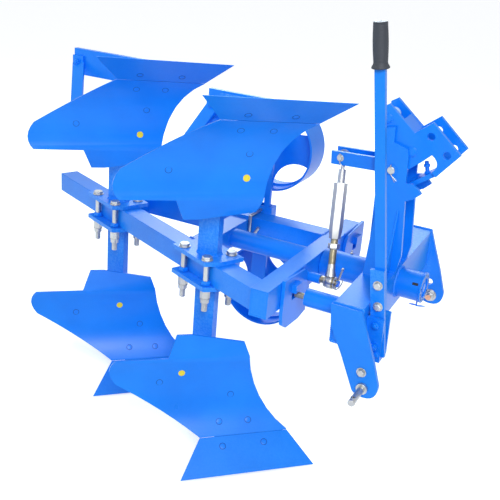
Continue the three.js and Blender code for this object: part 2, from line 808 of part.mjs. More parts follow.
function headstockFrame() {
  const inner = headHalf - cheekThick;
  const beam = block(headRear, headFront, -inner, inner, headBottom, headTop);
  const hollow = block(
    headRear + headWall,
    headFront - headWall,
    gap - inner,
    inner - gap,
    headBottom + headWall,
    headTop - headWall / 2,
  );
  const cheekShape = outline(cheekShares, cheekRear, headTop - cheekHeight, cheekWidth, cheekHeight);
  let frame = beam.subtract(hollow);
  for (const y of [-headHalf, inner]) {
    let cheek = plateXZ(cheekShape, y, y + cheekThick);
    const [y0, y1] = [y - overrun, y + overrun + cheekThick];
    cheek = cheek.subtract(rodY(y0, y1, linkX, linkZ, linkPinRadius + gap, 20));
    const spare = rodY(y0, y1, spareHoleX, spareHoleZ, spareHoleRadius, 20);
    frame = frame.add(cheek.subtract(spare));
  }
  frame = frame.add(rodX(lockTubeRear, headRear + headWall / 2, lockY, 0, lockTubeRadius, 28));
  const reach = headFront + overrun;
  frame = frame.subtract(rodX(lockTubeRear - overrun, reach, lockY, 0, lockRadius + gap));
  return frame.subtract(rodX(headRear - overrun, reach, 0, 0, bearingRadius + gap, 40));
}
headstock.add(meshOf("headstock_frame", headstockFrame(), paint()));

function bearingTube() {
  const start = crossFront + bearingStand;
  const bore = rodX(start - overrun, bearingFront + overrun, 0, 0, shaftRadius + gap, 40);
  return rodX(start, bearingFront, 0, 0, bearingRadius, 40).subtract(bore);
}
headstock.add(meshOf("bearing_tube", bearingTube(), paint()));

function lowerLinkPin() {
  const inner = headHalf - cheekThick - gap;
  const outer = headHalf + gap;
  const pin = rodY(-linkPinReach, -linkPinInner, linkX, linkZ, linkPinRadius, 20);
  const collar = rodY(-outer - collarThick, -outer, linkX, linkZ, collarRadius, 20);
  const nut = rodY(-inner, -inner + nutHeight, linkX, linkZ, collarRadius, 6);
  const z = point(linkX, linchpinInset - linkPinReach, linkZ - overrun);
  const hole = rod(z, z.clone().setZ(linkZ + overrun), linchpinRadius, 12);
  return pin.add(collar).add(nut).subtract(hole);
}
headstock.add(meshOf("lower_link_pin_near", lowerLinkPin(), plated()));
const farPin = meshOf("lower_link_pin_far", lowerLinkPin(), plated());
farPin.scale.y = -1;
headstock.add(farPin);

// Spring-returned lock bolt in its tube, with the cross pin that the lever moves.
const leverNear = lockY - lockRadius - gap / 2 - leverFootThick;

function lockBolt() {
  const bolt = rodX(lockTip, lockFront, lockY, 0, lockRadius, 20);
  return bolt.add(rodY(leverNear - lockCross / 3, lockY, lockCrossX, 0, lockCross, 16));
}
headstock.add(meshOf("lock_bolt", lockBolt(), passivated()));

// The lever leans back from its pivot. It is drawn upright about the pivot and then turned.
const leverFrame = shift(leverPivotX, 0, leverPivotZ).multiply(new THREE.Matrix4().makeRotationY(-leverLean));

function lever() {
  const foot = leverFoot / 2;
  const half = leverWidth / 2;
  const footFar = leverNear + leverFootThick;
  const lower = block(-foot, foot, leverNear, footFar, -leverFootBelow, leverFootTop);
  const rear = leverAhead - half;
  const bar = block(rear, leverAhead + half, footFar - gap, footFar + leverThick, leverBarStart, leverTop);
  const hole = rodY(leverNear - overrun, footFar + overrun, 0, 0, leverPinRadius + gap);
  const reach = Math.hypot(leverPivotX - lockCrossX, leverPivotZ);
  const side = lockCross + gap;
  const [slotLow, slotTop] = [reach - 2 * lockCross, reach + 2 * lockCross];
  const slot = block(-side, side, leverNear - overrun, footFar + overrun, slotLow, slotTop);
  return moved(lower.add(bar).subtract(hole).subtract(slot), leverFrame);
}
headstock.add(meshOf("release_lever", lever(), paint()));

function grip() {
  const y = leverNear + leverFootThick + leverThick / 2;
  const at = (z) => point(leverAhead, y, z);
  const sleeve = rod(at(gripStart), at(gripStart + gripLength), gripRadius, 24);
  const lip = cone(at(gripStart), at(gripStart + gripLip / 2), gripLip, gripRadius, 24);
  const half = leverWidth / 2 + gap;
  const thick = leverThick / 2 + gap;
  const [x0, x1] = [leverAhead - half, leverAhead + half];
  const socket = block(x0, x1, y - thick, y + thick, gripStart - overrun, leverTop + gap);
  return moved(sleeve.add(lip).subtract(socket), leverFrame);
}
headstock.add(meshOf("lever_grip", grip(), rubber()));

function leverBracket() {
  const near = lockY - bracketInset - bracketWall;
  const farSide = near + 2 * bracketWall + bracketGap;
  const rear = headFront + gap;
  const outer = block(rear, bracketFront, near, farSide, bracketBottom, bracketTop);
  const hollow = block(
    rear - overrun,
    bracketFront + overrun,
    near + bracketWall,
    farSide - bracketWall,
    bracketBottom + bracketWall,
    bracketTop + overrun,
  );
  const inWall = bracketWall / 2;
  const pin = rodY(near + inWall, farSide - inWall, leverPivotX, leverPivotZ, leverPinRadius);
  return outer.subtract(hollow).add(pin);
}
headstock.add(meshOf("lever_bracket", leverBracket(), paint()));

// Mast plates with their inclined braces.
const mastShares = [
  [0.077, 0],
  [0.692, 0],
  [0.769, 0.13],
  [0.7, 0.522],
  [0.862, 0.55],
  [1, 0.593],
  [0.915, 0.624],
  [0.792, 0.647],
  [0.669, 0.645],
  [0.654, 0.823],
  [0.623, 0.871],
  [0.338, 0.899],
  [0.331, 1],
  [0.162, 0.985],
  [0, 0.967],
  [0, 0.724],
  [0.077, 0.521],
];

function mastPlate() {
  const outer = mastInner + mastThick;
  const base = headTop + gap;
  const shape = outline(mastShares, mastRear, base, mastWidth, mastHeight);
  const plate = plateXZ(shape, -outer, -mastInner);
  const slope = polygon([
    [gap - outer, base],
    [gap - outer, braceTop],
    [-braceFoot, base],
  ]);
  const inside = polygon([
    [-outer, base - braceThick],
    [-outer, braceTop - 3 * braceThick],
    [braceThick - braceFoot, base - braceThick],
  ]);
  const brace = plateYZ(slope, braceRear, braceFront).subtract(
    plateYZ(inside, braceRear - overrun, braceFront - braceThick),
  );
  const hole = rodY(-outer - overrun, overrun - mastInner, pivotX, pivotZ, pivotRadius + gap, 20);
  return plate.add(brace).subtract(hole);
}
headstock.add(meshOf("mast_plate_near", mastPlate(), paint()));
headstock.add(meshOf("mast_plate_far", moved(mastPlate(), mirrorY), paint()));

function pivotPin() {
  const outer = mastInner + mastThick + gap;
  const pin = rodY(-pivotReach, pivotReach, pivotX, pivotZ, pivotRadius, 20);
  return pin.add(rodY(outer, pivotReach, pivotX, pivotZ, pivotHead, 20));
}
headstock.add(meshOf("pivot_pin", pivotPin(), plated()));

// Rocker: two arms on a hub, with the pin and ball that carry the turnbuckle's eye.
const rocker = new THREE.Group();
headstock.add(rocker);

function rockerArms() {
  const end = point(armEndX, 0, armEndZ);
  const centre = point(pivotX, 0, pivotZ);
  const along = new THREE.Vector3().subVectors(centre, end).normalize();
  const tip = centre.clone().addScaledVector(along, rockerPastPivot);
  const y = rockerInner + rockerThick / 2;
  const side = (s) => point(0, s, 0);
  let arms = rodY(-hubHalf, hubHalf, pivotX, pivotZ, hubOuter, 24);
  for (const s of [-y, y]) {
    const bar = flatBar(end.clone().add(side(s)), tip.clone().add(side(s)), rockerHeight, rockerThick, up);
    arms = arms.add(bar);
  }
  const ball = new THREE.SphereGeometry(ballRadius, 16, 10);
  ball.translate(eyeX, 0, eyeZ);
  arms = arms.add(rodY(-y, y, eyeX, eyeZ, eyePinRadius, 16)).add(solid(ball));
  return arms.subtract(rodY(-far, far, pivotX, pivotZ, pivotRadius + gap, 20));
}
rocker.add(meshOf("rocker_arms", rockerArms(), paint()));

const linkPlateShares = [
  [0, 0.943],
  [0.085, 1],
  [0.427, 0.679],
  [0.63, 0.855],
  [1, 0.492],
  [0.82, 0.25, 0.744, 0.145],
  [0.69, 0.2],
  [0.8, 0.33, 0.664, 0.43],
  [0.55, 0.31],
  [0.393, 0.166],
  [0.3, 0.03, 0.218, 0],
  [0.1, 0.04, 0.07, 0.17],
  [0, 0.736],
];
const topHoleShares = [
  [0.626, 0.668],
  [0.839, 0.461],
];
const crossPinShares = [
  [0.427, 0.425],
  [0.081, 0.808],
];
const spacerEndShares = [
  [0.246, 0.793],
  [0.408, 0.637],
];
const stopBarShare = [0.417, -0.062];
const screwShare = [0.611, 0.052];

// A place on the top-link plates, from its shares of their size.
function onLinkPlate([u, v]) {
  return [linkPlateRear + u * linkPlateWidth, linkPlateLow + v * linkPlateHeight];
}

function linkPlate() {
  const shape = outline(linkPlateShares, linkPlateRear, linkPlateLow, linkPlateWidth, linkPlateHeight);
  const y0 = -linkPlateInner - linkPlateThick;
  let plate = plateXZ(shape, y0, -linkPlateInner);
  for (const [x, z] of topHoleShares.map(onLinkPlate)) {
    plate = plate.subtract(rodY(y0 - overrun, overrun - linkPlateInner, x, z, topHoleRadius, 24));
  }
  return plate.subtract(rodY(y0 - overrun, overrun - linkPlateInner, pivotX, pivotZ, pivotRadius + gap, 20));
}
rocker.add(meshOf("top_link_plate_near", linkPlate(), paint()));

// The far plate carries the two cross pins and the block that space the plates apart.
function farLinkPlate() {
  const from = gap - linkPlateInner;
  const to = linkPlateInner + linkPlateThick / 2;
  let plate = moved(linkPlate(), mirrorY);
  for (const [x, z] of crossPinShares.map(onLinkPlate)) {
    plate = plate.add(rodY(from, to, x, z, crossPinRadius, 20));
  }
  const [a, b] = spacerEndShares.map(onLinkPlate).map(([x, z]) => point(x, (from + to) / 2, z));
  return plate.add(flatBar(a, b, to - from, spacerBlock, point(0, 1, 0)));
}
rocker.add(meshOf("top_link_plate_far", farLinkPlate(), paint()));

// Forked stop bar between the plates, with its adjusting screw.
function stopBar() {
  const width = 2 * (linkPlateInner - gap);
  const [x, z] = onLinkPlate(stopBarShare);
  const rear = point(x, 0, z);
  const lean = point(Math.cos(stopBarLean), 0, Math.sin(stopBarLean));
  const front = rear.clone().addScaledVector(lean, stopBarLength);
  const bar = flatBar(rear, front, width, stopBarHeight, point(0, 1, 0));
  const fork = block(x - overrun, x + forkDepth, -forkWidth / 2, forkWidth / 2, 0, far);
  const [footX, footZ] = onLinkPlate(screwShare);
  const foot = point(footX, 0, footZ);
  const rise = point(-Math.sin(stopScrewLean), 0, Math.cos(stopScrewLean)).multiplyScalar(stopScrewLength);
  return bar.subtract(fork).add(rod(foot, foot.clone().add(rise), stopScrewRadius, 12));
}
rocker.add(meshOf("stop_bar", stopBar(), paint()));

// Turnbuckle from the rocker's pin to the crank pin.
const eye = point(eyeX, 0, eyeZ);
const crankPin = point(crankPinX, -crankThrow * Math.cos(levelAngle), crankThrow * Math.sin(levelAngle));
const linkLine = new THREE.Vector3().subVectors(crankPin, eye).normalize();
const linkLength = eye.distanceTo(crankPin);
const onLink = (distance) => eye.clone().addScaledVector(linkLine, distance);
const turnbuckle = new THREE.Group();
rocker.add(turnbuckle);

function upperEye() {
  const side = point(0, 1, 0).addScaledVector(linkLine, -linkLine.y).normalize();
  const ends = (half) => [eye.clone().addScaledVector(side, -half), eye.clone().addScaledVector(side, half)];
  const ring = rod(...ends(eyeHalf), eyeRadius, 24);
  const neck = rod(onLink(eyeRadius - gap), onLink(neckEnd + gap), neckRadius, 16);
  const shank = rod(onLink(neckEnd), onLink(sleeveStart + rodEngage), upperRodRadius, 20);
  return ring.add(neck).add(shank).subtract(rod(...ends(2 * eyeHalf), ballRadius + gap, 24));
}
turnbuckle.add(meshOf("turnbuckle_eye", upperEye(), plated()));

const sleeveEnd = sleeveStart + sleeveLength;

function turnbuckleSleeve() {
  const straight = rod(onLink(sleeveStart), onLink(sleeveEnd - sleeveTaper), sleeveRadius, 6);
  const taper = cone(onLink(sleeveEnd - sleeveTaper), onLink(sleeveEnd), sleeveRadius, sleeveEndRadius, 6);
  const bore = rod(onLink(sleeveStart - overrun), onLink(sleeveEnd + overrun), upperRodRadius + gap, 20);
  return straight.add(taper).subtract(bore);
}
turnbuckle.add(meshOf("turnbuckle_sleeve", turnbuckleSleeve(), plated()));

function lowerRodEnd() {
  const stem = rod(onLink(sleeveEnd - rodEngage), crankPin, lowerRodRadius, 16);
  const nutStart = sleeveEnd + lockNutGap;
  const nut = rod(onLink(nutStart), onLink(nutStart + lockNutHeight), hexRadius(lockNutFlats), 6);
  const half = rodEndWidth / 2;
  const { y, z } = crankPin;
  const housing = rodX(crankPinX - half, crankPinX + half, y, z, rodEndRadius, 24);
  const pin = rodX(crankBossEnd + gap, crankPinEnd, y, z, crankPinRadius, 20);
  let end = stem.add(nut).add(housing).add(pin);
  for (const x of [crankPinX - half - washerThick, crankPinX + half]) {
    end = end.add(rodX(x, x + washerThick, y, z, washerRadius, 20));
  }
  return end;
}
turnbuckle.add(meshOf("turnbuckle_rod_end", lowerRodEnd(), passivated()));

export default plough;
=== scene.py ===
import json
import math
from functools import partial

import bmesh
import bpy
from mathutils import Matrix, Vector, noise


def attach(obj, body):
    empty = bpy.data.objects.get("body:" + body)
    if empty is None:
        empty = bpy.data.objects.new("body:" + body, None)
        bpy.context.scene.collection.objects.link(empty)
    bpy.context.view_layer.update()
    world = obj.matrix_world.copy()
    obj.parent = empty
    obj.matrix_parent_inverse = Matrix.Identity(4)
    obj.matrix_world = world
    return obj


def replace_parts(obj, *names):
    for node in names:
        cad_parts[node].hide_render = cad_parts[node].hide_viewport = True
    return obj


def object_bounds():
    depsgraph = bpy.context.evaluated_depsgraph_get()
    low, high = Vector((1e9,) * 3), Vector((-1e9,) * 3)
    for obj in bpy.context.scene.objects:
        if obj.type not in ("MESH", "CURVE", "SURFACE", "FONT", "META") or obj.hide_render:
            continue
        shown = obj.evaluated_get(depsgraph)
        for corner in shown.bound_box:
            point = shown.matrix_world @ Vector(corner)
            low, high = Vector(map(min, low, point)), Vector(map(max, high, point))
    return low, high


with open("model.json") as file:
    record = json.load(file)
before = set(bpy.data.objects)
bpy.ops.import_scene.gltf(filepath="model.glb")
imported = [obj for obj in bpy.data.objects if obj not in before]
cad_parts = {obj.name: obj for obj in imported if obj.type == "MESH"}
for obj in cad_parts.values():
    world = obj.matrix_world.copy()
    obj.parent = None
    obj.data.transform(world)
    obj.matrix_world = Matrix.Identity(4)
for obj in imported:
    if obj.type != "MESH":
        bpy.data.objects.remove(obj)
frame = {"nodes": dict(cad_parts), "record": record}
cad_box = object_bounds()

# Frames and angles
X, Y, Z = Vector((1, 0, 0)), Vector((0, 1, 0)), Vector((0, 0, 1))
TURN = 2 * math.pi
MILLIMETRE = 0.001
AXIS_POINT = (-0.264, 0, 0.166)  # on the turnover axis, in metres
REST_TURN = math.radians(-4.13)
HEAD = Matrix.Translation(AXIS_POINT) @ Matrix.Scale(MILLIMETRE, 4)
ROTOR = HEAD @ Matrix.Rotation(REST_TURN, 4, "X")
BEAM_ANGLE = math.radians(24.5)
CUT_ANGLE = math.radians(40.4)
LEVER_LEAN = math.radians(6.75)

# Materials
CLOUDS = {"Scale": 7.0, "Detail": 5.0, "Roughness": 0.6}
SPECKS = {"Detail": 3.0, "Roughness": 0.7}
COLOUR_STOPS = (0.3, 0.7)  # where a finish's two colours lie in the clouds
WORN_AND_HIGHLIT_EDGE = {"From Min": 0.54, "From Max": 0.66}  # pointiness at which an edge wears and takes a painted highlight
WORN_AND_HIGHLIT_PATCH = {"From Min": 0.38, "From Max": 0.62}
COAT_ROUGHNESS = 0.12
RELIEF = 0.0008  # metres


def add_node(tree, kind, sockets):
    """A new shader node with these values on its inputs."""
    node = tree.nodes.new(kind)
    for key, value in sockets.items():
        node.inputs[key].default_value = value
    return node


def edge_wear_and_highlight(tree, colour, specks, amount, bare):
    """The colour, with paler patches along the edges: partly paint worn thin, partly a painted
    highlight.
    """
    links = tree.links
    shape = tree.nodes.new("ShaderNodeNewGeometry")
    edge = add_node(tree, "ShaderNodeMapRange", WORN_AND_HIGHLIT_EDGE)
    patch = add_node(tree, "ShaderNodeMapRange", {**WORN_AND_HIGHLIT_PATCH, "To Max": amount})
    both = tree.nodes.new("ShaderNodeMath")
    both.operation = "MULTIPLY"
    mix = tree.nodes.new("ShaderNodeMix")
    mix.data_type = "RGBA"
    # the paler edge colour: partly worn paint, partly a painted highlight
    mix.inputs["B"].default_value = (*bare, 1)
    links.new(shape.outputs["Pointiness"], edge.inputs["Value"])
    links.new(specks.outputs["Fac"], patch.inputs["Value"])
    links.new(edge.outputs["Result"], both.inputs[0])
    links.new(patch.outputs["Result"], both.inputs[1])
    links.new(both.outputs[0], mix.inputs["Factor"])
    links.new(colour, mix.inputs["A"])
    return mix.outputs["Result"]


def material(
    name,
    colours,
    roughness,
    metallic=0.0,
    coat=0.0,
    grain=220,
    bump=0.05,
    wear_and_highlight=None,
    shine=0.5,
):
    """A procedural finish: cloudy colour, uneven gloss, fine bump and, if it wears, paler edges that are
    partly worn paint and partly a painted highlight.
    """
    mat = bpy.data.materials.new(name)
    mat.use_nodes = True
    tree = mat.node_tree
    links = tree.links
    shader = tree.nodes["Principled BSDF"]
    shader.inputs["Metallic"].default_value = metallic
    shader.inputs["Specular IOR Level"].default_value = shine
    shader.inputs["Coat Weight"].default_value = coat
    shader.inputs["Coat Roughness"].default_value = COAT_ROUGHNESS

    place = tree.nodes.new("ShaderNodeTexCoord")
    clouds = add_node(tree, "ShaderNodeTexNoise", CLOUDS)
    specks = add_node(tree, "ShaderNodeTexNoise", {**SPECKS, "Scale": float(grain)})
    for node in (clouds, specks):
        links.new(place.outputs["Object"], node.inputs["Vector"])

    ramp = tree.nodes.new("ShaderNodeValToRGB")
    for element, stop, colour in zip(ramp.color_ramp.elements, COLOUR_STOPS, colours):
        element.position = stop
        element.color = (*colour, 1)
    links.new(clouds.outputs["Fac"], ramp.inputs["Fac"])
    colour = ramp.outputs["Color"]
    # paler edges: partly worn paint, partly a painted highlight
    if wear_and_highlight:
        colour = edge_wear_and_highlight(tree, colour, specks, *wear_and_highlight)
    links.new(colour, shader.inputs["Base Color"])

    gloss = add_node(tree, "ShaderNodeMapRange", {"To Min": roughness[0], "To Max": roughness[1]})
    links.new(clouds.outputs["Fac"], gloss.inputs["Value"])
    links.new(gloss.outputs["Result"], shader.inputs["Roughness"])
    relief = add_node(tree, "ShaderNodeBump", {"Strength": bump, "Distance": RELIEF})
    links.new(specks.outputs["Fac"], relief.inputs["Height"])
    links.new(relief.outputs["Normal"], shader.inputs["Normal"])
    return mat


LOOKS = {
    "blue_paint": {
        "colours": ((0.002, 0.2, 0.84), (0.005, 0.24, 0.92)),
        "roughness": (0.24, 0.38),
        "grain": 160,
        "bump": 0.02,
        "shine": 0.3,
        # paler blue along the edges: partly worn paint, partly a painted highlight
        "wear_and_highlight": (0.35, (0.1, 0.42, 0.95)),
    },
    "zinc_plate": {
        "colours": ((0.34, 0.35, 0.37), (0.6, 0.61, 0.6)),
        "roughness": (0.25, 0.45),
        "metallic": 0.9,
        "grain": 320,
        "bump": 0.12,
    },
    "yellow_zinc": {
        "colours": ((0.27, 0.23, 0.15), (0.46, 0.41, 0.28)),
        "roughness": (0.25, 0.45),
        "metallic": 0.85,
        "grain": 300,
        "bump": 0.12,
    },
    "bare_steel": {
        "colours": ((0.32, 0.34, 0.37), (0.52, 0.54, 0.57)),
        "roughness": (0.22, 0.4),
        "metallic": 0.75,
        "grain": 260,
        "bump": 0.1,
    },
    "grip_rubber": {
        "colours": ((0.018, 0.022, 0.032), (0.036, 0.042, 0.056)),
        "roughness": (0.45, 0.7),
        "grain": 500,
        "bump": 0.35,
    },
    # dark blue for the ring round each plough bolt head: painted shade in the groove
    "groove_shade": {
        "colours": ((0.0005, 0.055, 0.32), (0.001, 0.08, 0.42)),
        "roughness": (0.4, 0.6),
        "grain": 200,
        "shine": 0.3,
    },
    # near black: painted shade in the bearing tube's slot and in the grip cap's hole
    "opening_shade": {
        "colours": ((0.004, 0.005, 0.008), (0.012, 0.014, 0.02)),
        "roughness": (0.6, 0.8),
        "grain": 300,
        "bump": 0.2,
    },
    "yellow_dot": {
        "colours": ((0.78, 0.6, 0.02), (0.9, 0.74, 0.05)),
        "roughness": (0.3, 0.45),
        "grain": 200,
        "bump": 0.03,
    },
    "copper_tint": {
        "colours": ((0.55, 0.26, 0.15), (0.8, 0.45, 0.3)),
        "roughness": (0.28, 0.45),
        "metallic": 0.8,
        "grain": 300,
        "bump": 0.12,
    },
    "pale_cap": {
        "colours": ((0.5, 0.55, 0.62), (0.66, 0.7, 0.76)),
        "roughness": (0.4, 0.6),
        "grain": 400,
        "bump": 0.15,
    },
    # the roller's finish: a paler blue than the paint
    "pale_blue_roller": {
        "colours": ((0.35, 0.55, 0.85), (0.55, 0.7, 0.92)),
        "roughness": (0.3, 0.5),
        "coat": 0.2,
        "grain": 240,
        "bump": 0.1,
    },
}
finishes = {name: material(name, **look) for name, look in LOOKS.items()}

# Finish and rounded edges of the CAD nodes
EDGE = 1.1
EDGE_OF = {"release_lever": 1.6, "turnbuckle_sleeve": 0.8, "lock_bolt": 0.6}
EDGE_ANGLE = math.radians(38)  # a sharper turn than this is rounded
FLAT_ANGLE = math.radians(0.4)  # faces that differ by less are joined
SMOOTH_ANGLE = math.radians(35)
WELD_DISTANCE = 1e-5  # metres


def round_edges(thing, width):
    """Bevels the sharp edges by this width in millimetres, with a modifier alone."""
    bevel = thing.modifiers.new("bevel", "BEVEL")
    bevel.limit_method = "ANGLE"
    bevel.angle_limit = EDGE_ANGLE
    bevel.width = width * MILLIMETRE
    bevel.segments = 2
    bevel.harden_normals = True


def dress(name, node, slot):
    """Rounds a CAD node's edges with modifiers alone and gives it its finish."""
    mesh = node.data
    for layer in ("custom_normal", "sharp_face", "sharp_edge"):
        if layer in mesh.attributes:
            mesh.attributes.remove(mesh.attributes[layer])
    mesh.materials.clear()
    mesh.materials.append(finishes[slot])
    mesh.polygons.foreach_set("use_smooth", [True] * len(mesh.polygons))
    weld = node.modifiers.new("weld", "WELD")
    weld.merge_threshold = WELD_DISTANCE
    flat = node.modifiers.new("flat", "DECIMATE")
    flat.decimate_type = "DISSOLVE"
    flat.angle_limit = FLAT_ANGLE
    round_edges(node, EDGE_OF.get(name, EDGE))
    even = node.modifiers.new("even", "WEIGHTED_NORMAL")
    even.keep_sharp = True


slots = {row["node"]: row["material_slot"] for row in frame["record"]["subparts"]}
for name, node in frame["nodes"].items():
    dress(name, node, slots[name])


# Mesh tools
def basis(direction):
    """A turn that takes +Z to the direction."""
    return Vector(direction).normalized().to_track_quat("Z", "Y").to_matrix().to_4x4()


def circle(centre, axis, radius, count=48, start=0.0, sweep=TURN):
    """Points along a circle, or along a part of one."""
    place = Matrix.Translation(Vector(centre)) @ basis(axis)
    angles = [start + sweep * i / count for i in range(count)]
    return [place @ Vector((radius * math.cos(a), radius * math.sin(a), 0)) for a in angles]


def skin(bm, rings, closed=False):
    """Joins each ring of vertices to the next, and caps the ends or closes the shape on itself."""
    pairs = list(zip(rings, rings[1:]))
    if closed:
        pairs.append((rings[-1], rings[0]))
    for low, high in pairs:
        for i in range(len(low)):
            j = (i + 1) % len(low)
            bm.faces.new((low[i], low[j], high[j], high[i]))
    if not closed:
        bm.faces.new(rings[0][::-1])
        bm.faces.new(rings[-1])


def turned(bm, base, direction, profile, sides=24, closed=False, phase=0.0):
    """A turned shape from rows of (distance along the axis, radius)."""
    place = Matrix.Translation(Vector(base)) @ basis(direction)
    angles = [phase + TURN * i / sides for i in range(sides)]
    rings = []
    for height, radius in profile:
        spots = [(radius * math.cos(a), radius * math.sin(a), height) for a in angles]
        rings.append([bm.verts.new(place @ Vector(spot)) for spot in spots])
    skin(bm, rings, closed)


def washer(bm, base, direction, outer, inner, thick):
    """A ring with its outer edges chamfered."""
    c = 0.12 * thick
    rows = [(0, inner), (0, outer - c), (c, outer)]
    rows += [(thick - c, outer), (thick, outer - c), (thick, inner)]
    turned(bm, base, direction, rows, 28, closed=True)


def hex_nut(bm, base, direction, flats, height, phase=0.0):
    """A six-sided nut or bolt head with chamfered corners and a raised round face."""
    corner = flats / math.sqrt(3)
    chamfer = 0.1 * height
    rows = [(0, 0.94 * corner), (chamfer, corner)]
    rows += [(height - 1.6 * chamfer, corner), (height, 0.88 * corner)]
    turned(bm, base, direction, rows, 6, phase=phase)
    top = Vector(base) + Vector(direction).normalized() * height
    turned(bm, top, direction, [(-chamfer, 0.46 * flats), (chamfer * 0.5, 0.42 * flats)])


def bolt_end(bm, base, direction, radius, length):
    """A threaded end: a bar with ring-shaped crests and a chamfered tip."""
    root = 0.9 * radius
    pitch = max(1.6, 0.25 * radius)
    rows = [(-1, root)]
    for i in range(int(length / pitch)):
        rows += [((i + 0.3) * pitch, root), ((i + 0.7) * pitch, radius)]
    rows += [(length - 0.15 * radius, root), (length, 0.72 * radius)]
    turned(bm, base, direction, rows, 20)


def fastener(bm, seat, out, ring, nut, phase=0.0, end=None):
    """A washer (outer, inner, thick), a nut (flats, height) and a threaded end (radius, length)."""
    seat = Vector(seat)
    washer(bm, seat, out, *ring)
    thick = ring[2]
    hex_nut(bm, seat + out * thick, out, *nut, phase)
    if end:
        bolt_end(bm, seat + out * (thick + nut[1]), out, *end)


RIPPLE_STEP = 2.1  # radians from one point of a bead to the next
UNEVEN, UNEVEN_SCALE = 0.25, 0.05
DOMED = 0.55


def tube(bm, points, radius, sides=8, ripple=0.0, closed=False):
    """A bar swept along points, with domed ends. Ripple swells it as a weld bead's scales do."""
    points = [Vector(p) for p in points]
    count = len(points)
    rings = []
    hint = None
    for i, p in enumerate(points):
        ahead = points[(i + 1) % count] if closed or i < count - 1 else p
        behind = points[i - 1] if closed or i else p
        along = (ahead - behind).normalized()
        if hint is None:
            hint = along.orthogonal()
        side = (hint - along * hint.dot(along)).normalized()
        hint = side
        over = along.cross(side)
        size = radius
        if ripple:
            size *= 1 + ripple * math.sin(i * RIPPLE_STEP) + UNEVEN * noise.noise(p * UNEVEN_SCALE)
        if not closed and i in (0, count - 1):
            size *= DOMED
        angles = [TURN * k / sides for k in range(sides)]
        ring = [p + (side * math.cos(a) + over * math.sin(a)) * size for a in angles]
        rings.append([bm.verts.new(spot) for spot in ring])
    skin(bm, rings, closed)


def spaced(points, step, closed=False):
    """The same line with a point at about every step."""
    points = [Vector(p) for p in points]
    if closed:
        points.append(points[0])
    out = []
    for a, b in zip(points, points[1:]):
        n = max(1, round((b - a).length / step))
        out += [a.lerp(b, i / n) for i in range(n)]
    if not closed:
        out.append(points[-1])
    return out


BEAD_STEP, BEAD_SIDES, BEAD_RIPPLE = 1.9, 7, 0.13


def bead(bm, points, radius, closed=False):
    """A weld bead along a line."""
    tube(bm, spaced(points, BEAD_STEP, closed), radius, BEAD_SIDES, BEAD_RIPPLE, closed)


def round_bead(bm, centre, axis, radius, thick, count):
    """A weld bead all round a bar or tube."""
    bead(bm, circle(centre, axis, radius, count), thick, closed=True)


def box(bm, x_range, y_range, z_range):
    """A plain block between these limits."""
    corners = [(0, 0), (1, 0), (1, 1), (0, 1)]
    rings = []
    for z in z_range:
        spots = [(x_range[i], y_range[j], z) for i, j in corners]
        rings.append([bm.verts.new(spot) for spot in spots])
    skin(bm, rings)


def piece(name, body, finish, place, build, bevel=0.0, surface=None):
    """One mesh object: build fills a bmesh in millimetres, and place takes it to the part's frame."""
    bm = bmesh.new()
    build(bm)
    bm.transform(place)
    bmesh.ops.recalc_face_normals(bm, faces=bm.faces)
    mesh = bpy.data.meshes.new(name)
    bm.to_mesh(mesh)
    bm.free()
    mesh.shade_smooth()
    mesh.set_sharp_from_angle(angle=SMOOTH_ANGLE)
    mesh.materials.append(finishes[surface or finish])
    made = bpy.data.objects.new(name, mesh)
    bpy.context.scene.collection.objects.link(made)
    if bevel:
        round_edges(made, bevel)
    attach(made, body)
    return made


# Plough bodies: where the bolts and dots sit on a board and its share
BOARD_RADIUS, BOARD_CENTRE, BOARD_AXIS = 211, 68, -290
SHARE_RISE, SHARE_RUN, SHARE_EDGE_Z = 75, 84, -512
SHARE_SLOPE = math.atan2(SHARE_RISE, SHARE_RUN)
SHARE_TIP = (375, -4, 0)  # from the clamp's centre
CUT_FRAME = Matrix.Translation(SHARE_TIP) @ Matrix.Rotation(math.pi + CUT_ANGLE, 4, "Z")
BOARD_BOLTS = [(249.9, -411), (168.3, -411), (215.9, -345)]
TAIL_BOLT = (414.6, -300)
SHARE_BOLTS = [(245.8, -460), (129.1, -457)]
BOARD_BACK, TAIL_BACK, SHARE_BACK = 16.6, 15, 18.6  # from the front to the nut's seat
DOT_PLACE = {
    ("front", "upper"): (217, -280),
    ("front", "lower"): (355, -274),
    ("rear", "upper"): (232, -271),
    ("rear", "lower"): (280, -280),
}


def on_board(along, z):
    """Point and outward normal on the mouldboard's front, along its edge and up from the axis."""
    rise = z - BOARD_AXIS
    depth = math.sqrt(BOARD_RADIUS**2 - rise**2)
    normal = Vector((0, depth, -rise)).normalized()
    return Vector((along, BOARD_CENTRE - depth, z)), normal


def on_share(along, z):
    """Point and outward normal on the share's front."""
    up = (z - SHARE_EDGE_Z) / math.sin(SHARE_SLOPE)
    normal = Vector((0, math.sin(SHARE_SLOPE), math.cos(SHARE_SLOPE)))
    return Vector((along, -up * math.cos(SHARE_SLOPE), z)), normal


bolt_seats = [(*on_board(*spot), BOARD_BACK) for spot in BOARD_BOLTS]
bolt_seats.append((*on_board(*TAIL_BOLT), TAIL_BACK))
bolt_seats += [(*on_share(*spot), SHARE_BACK) for spot in SHARE_BOLTS]

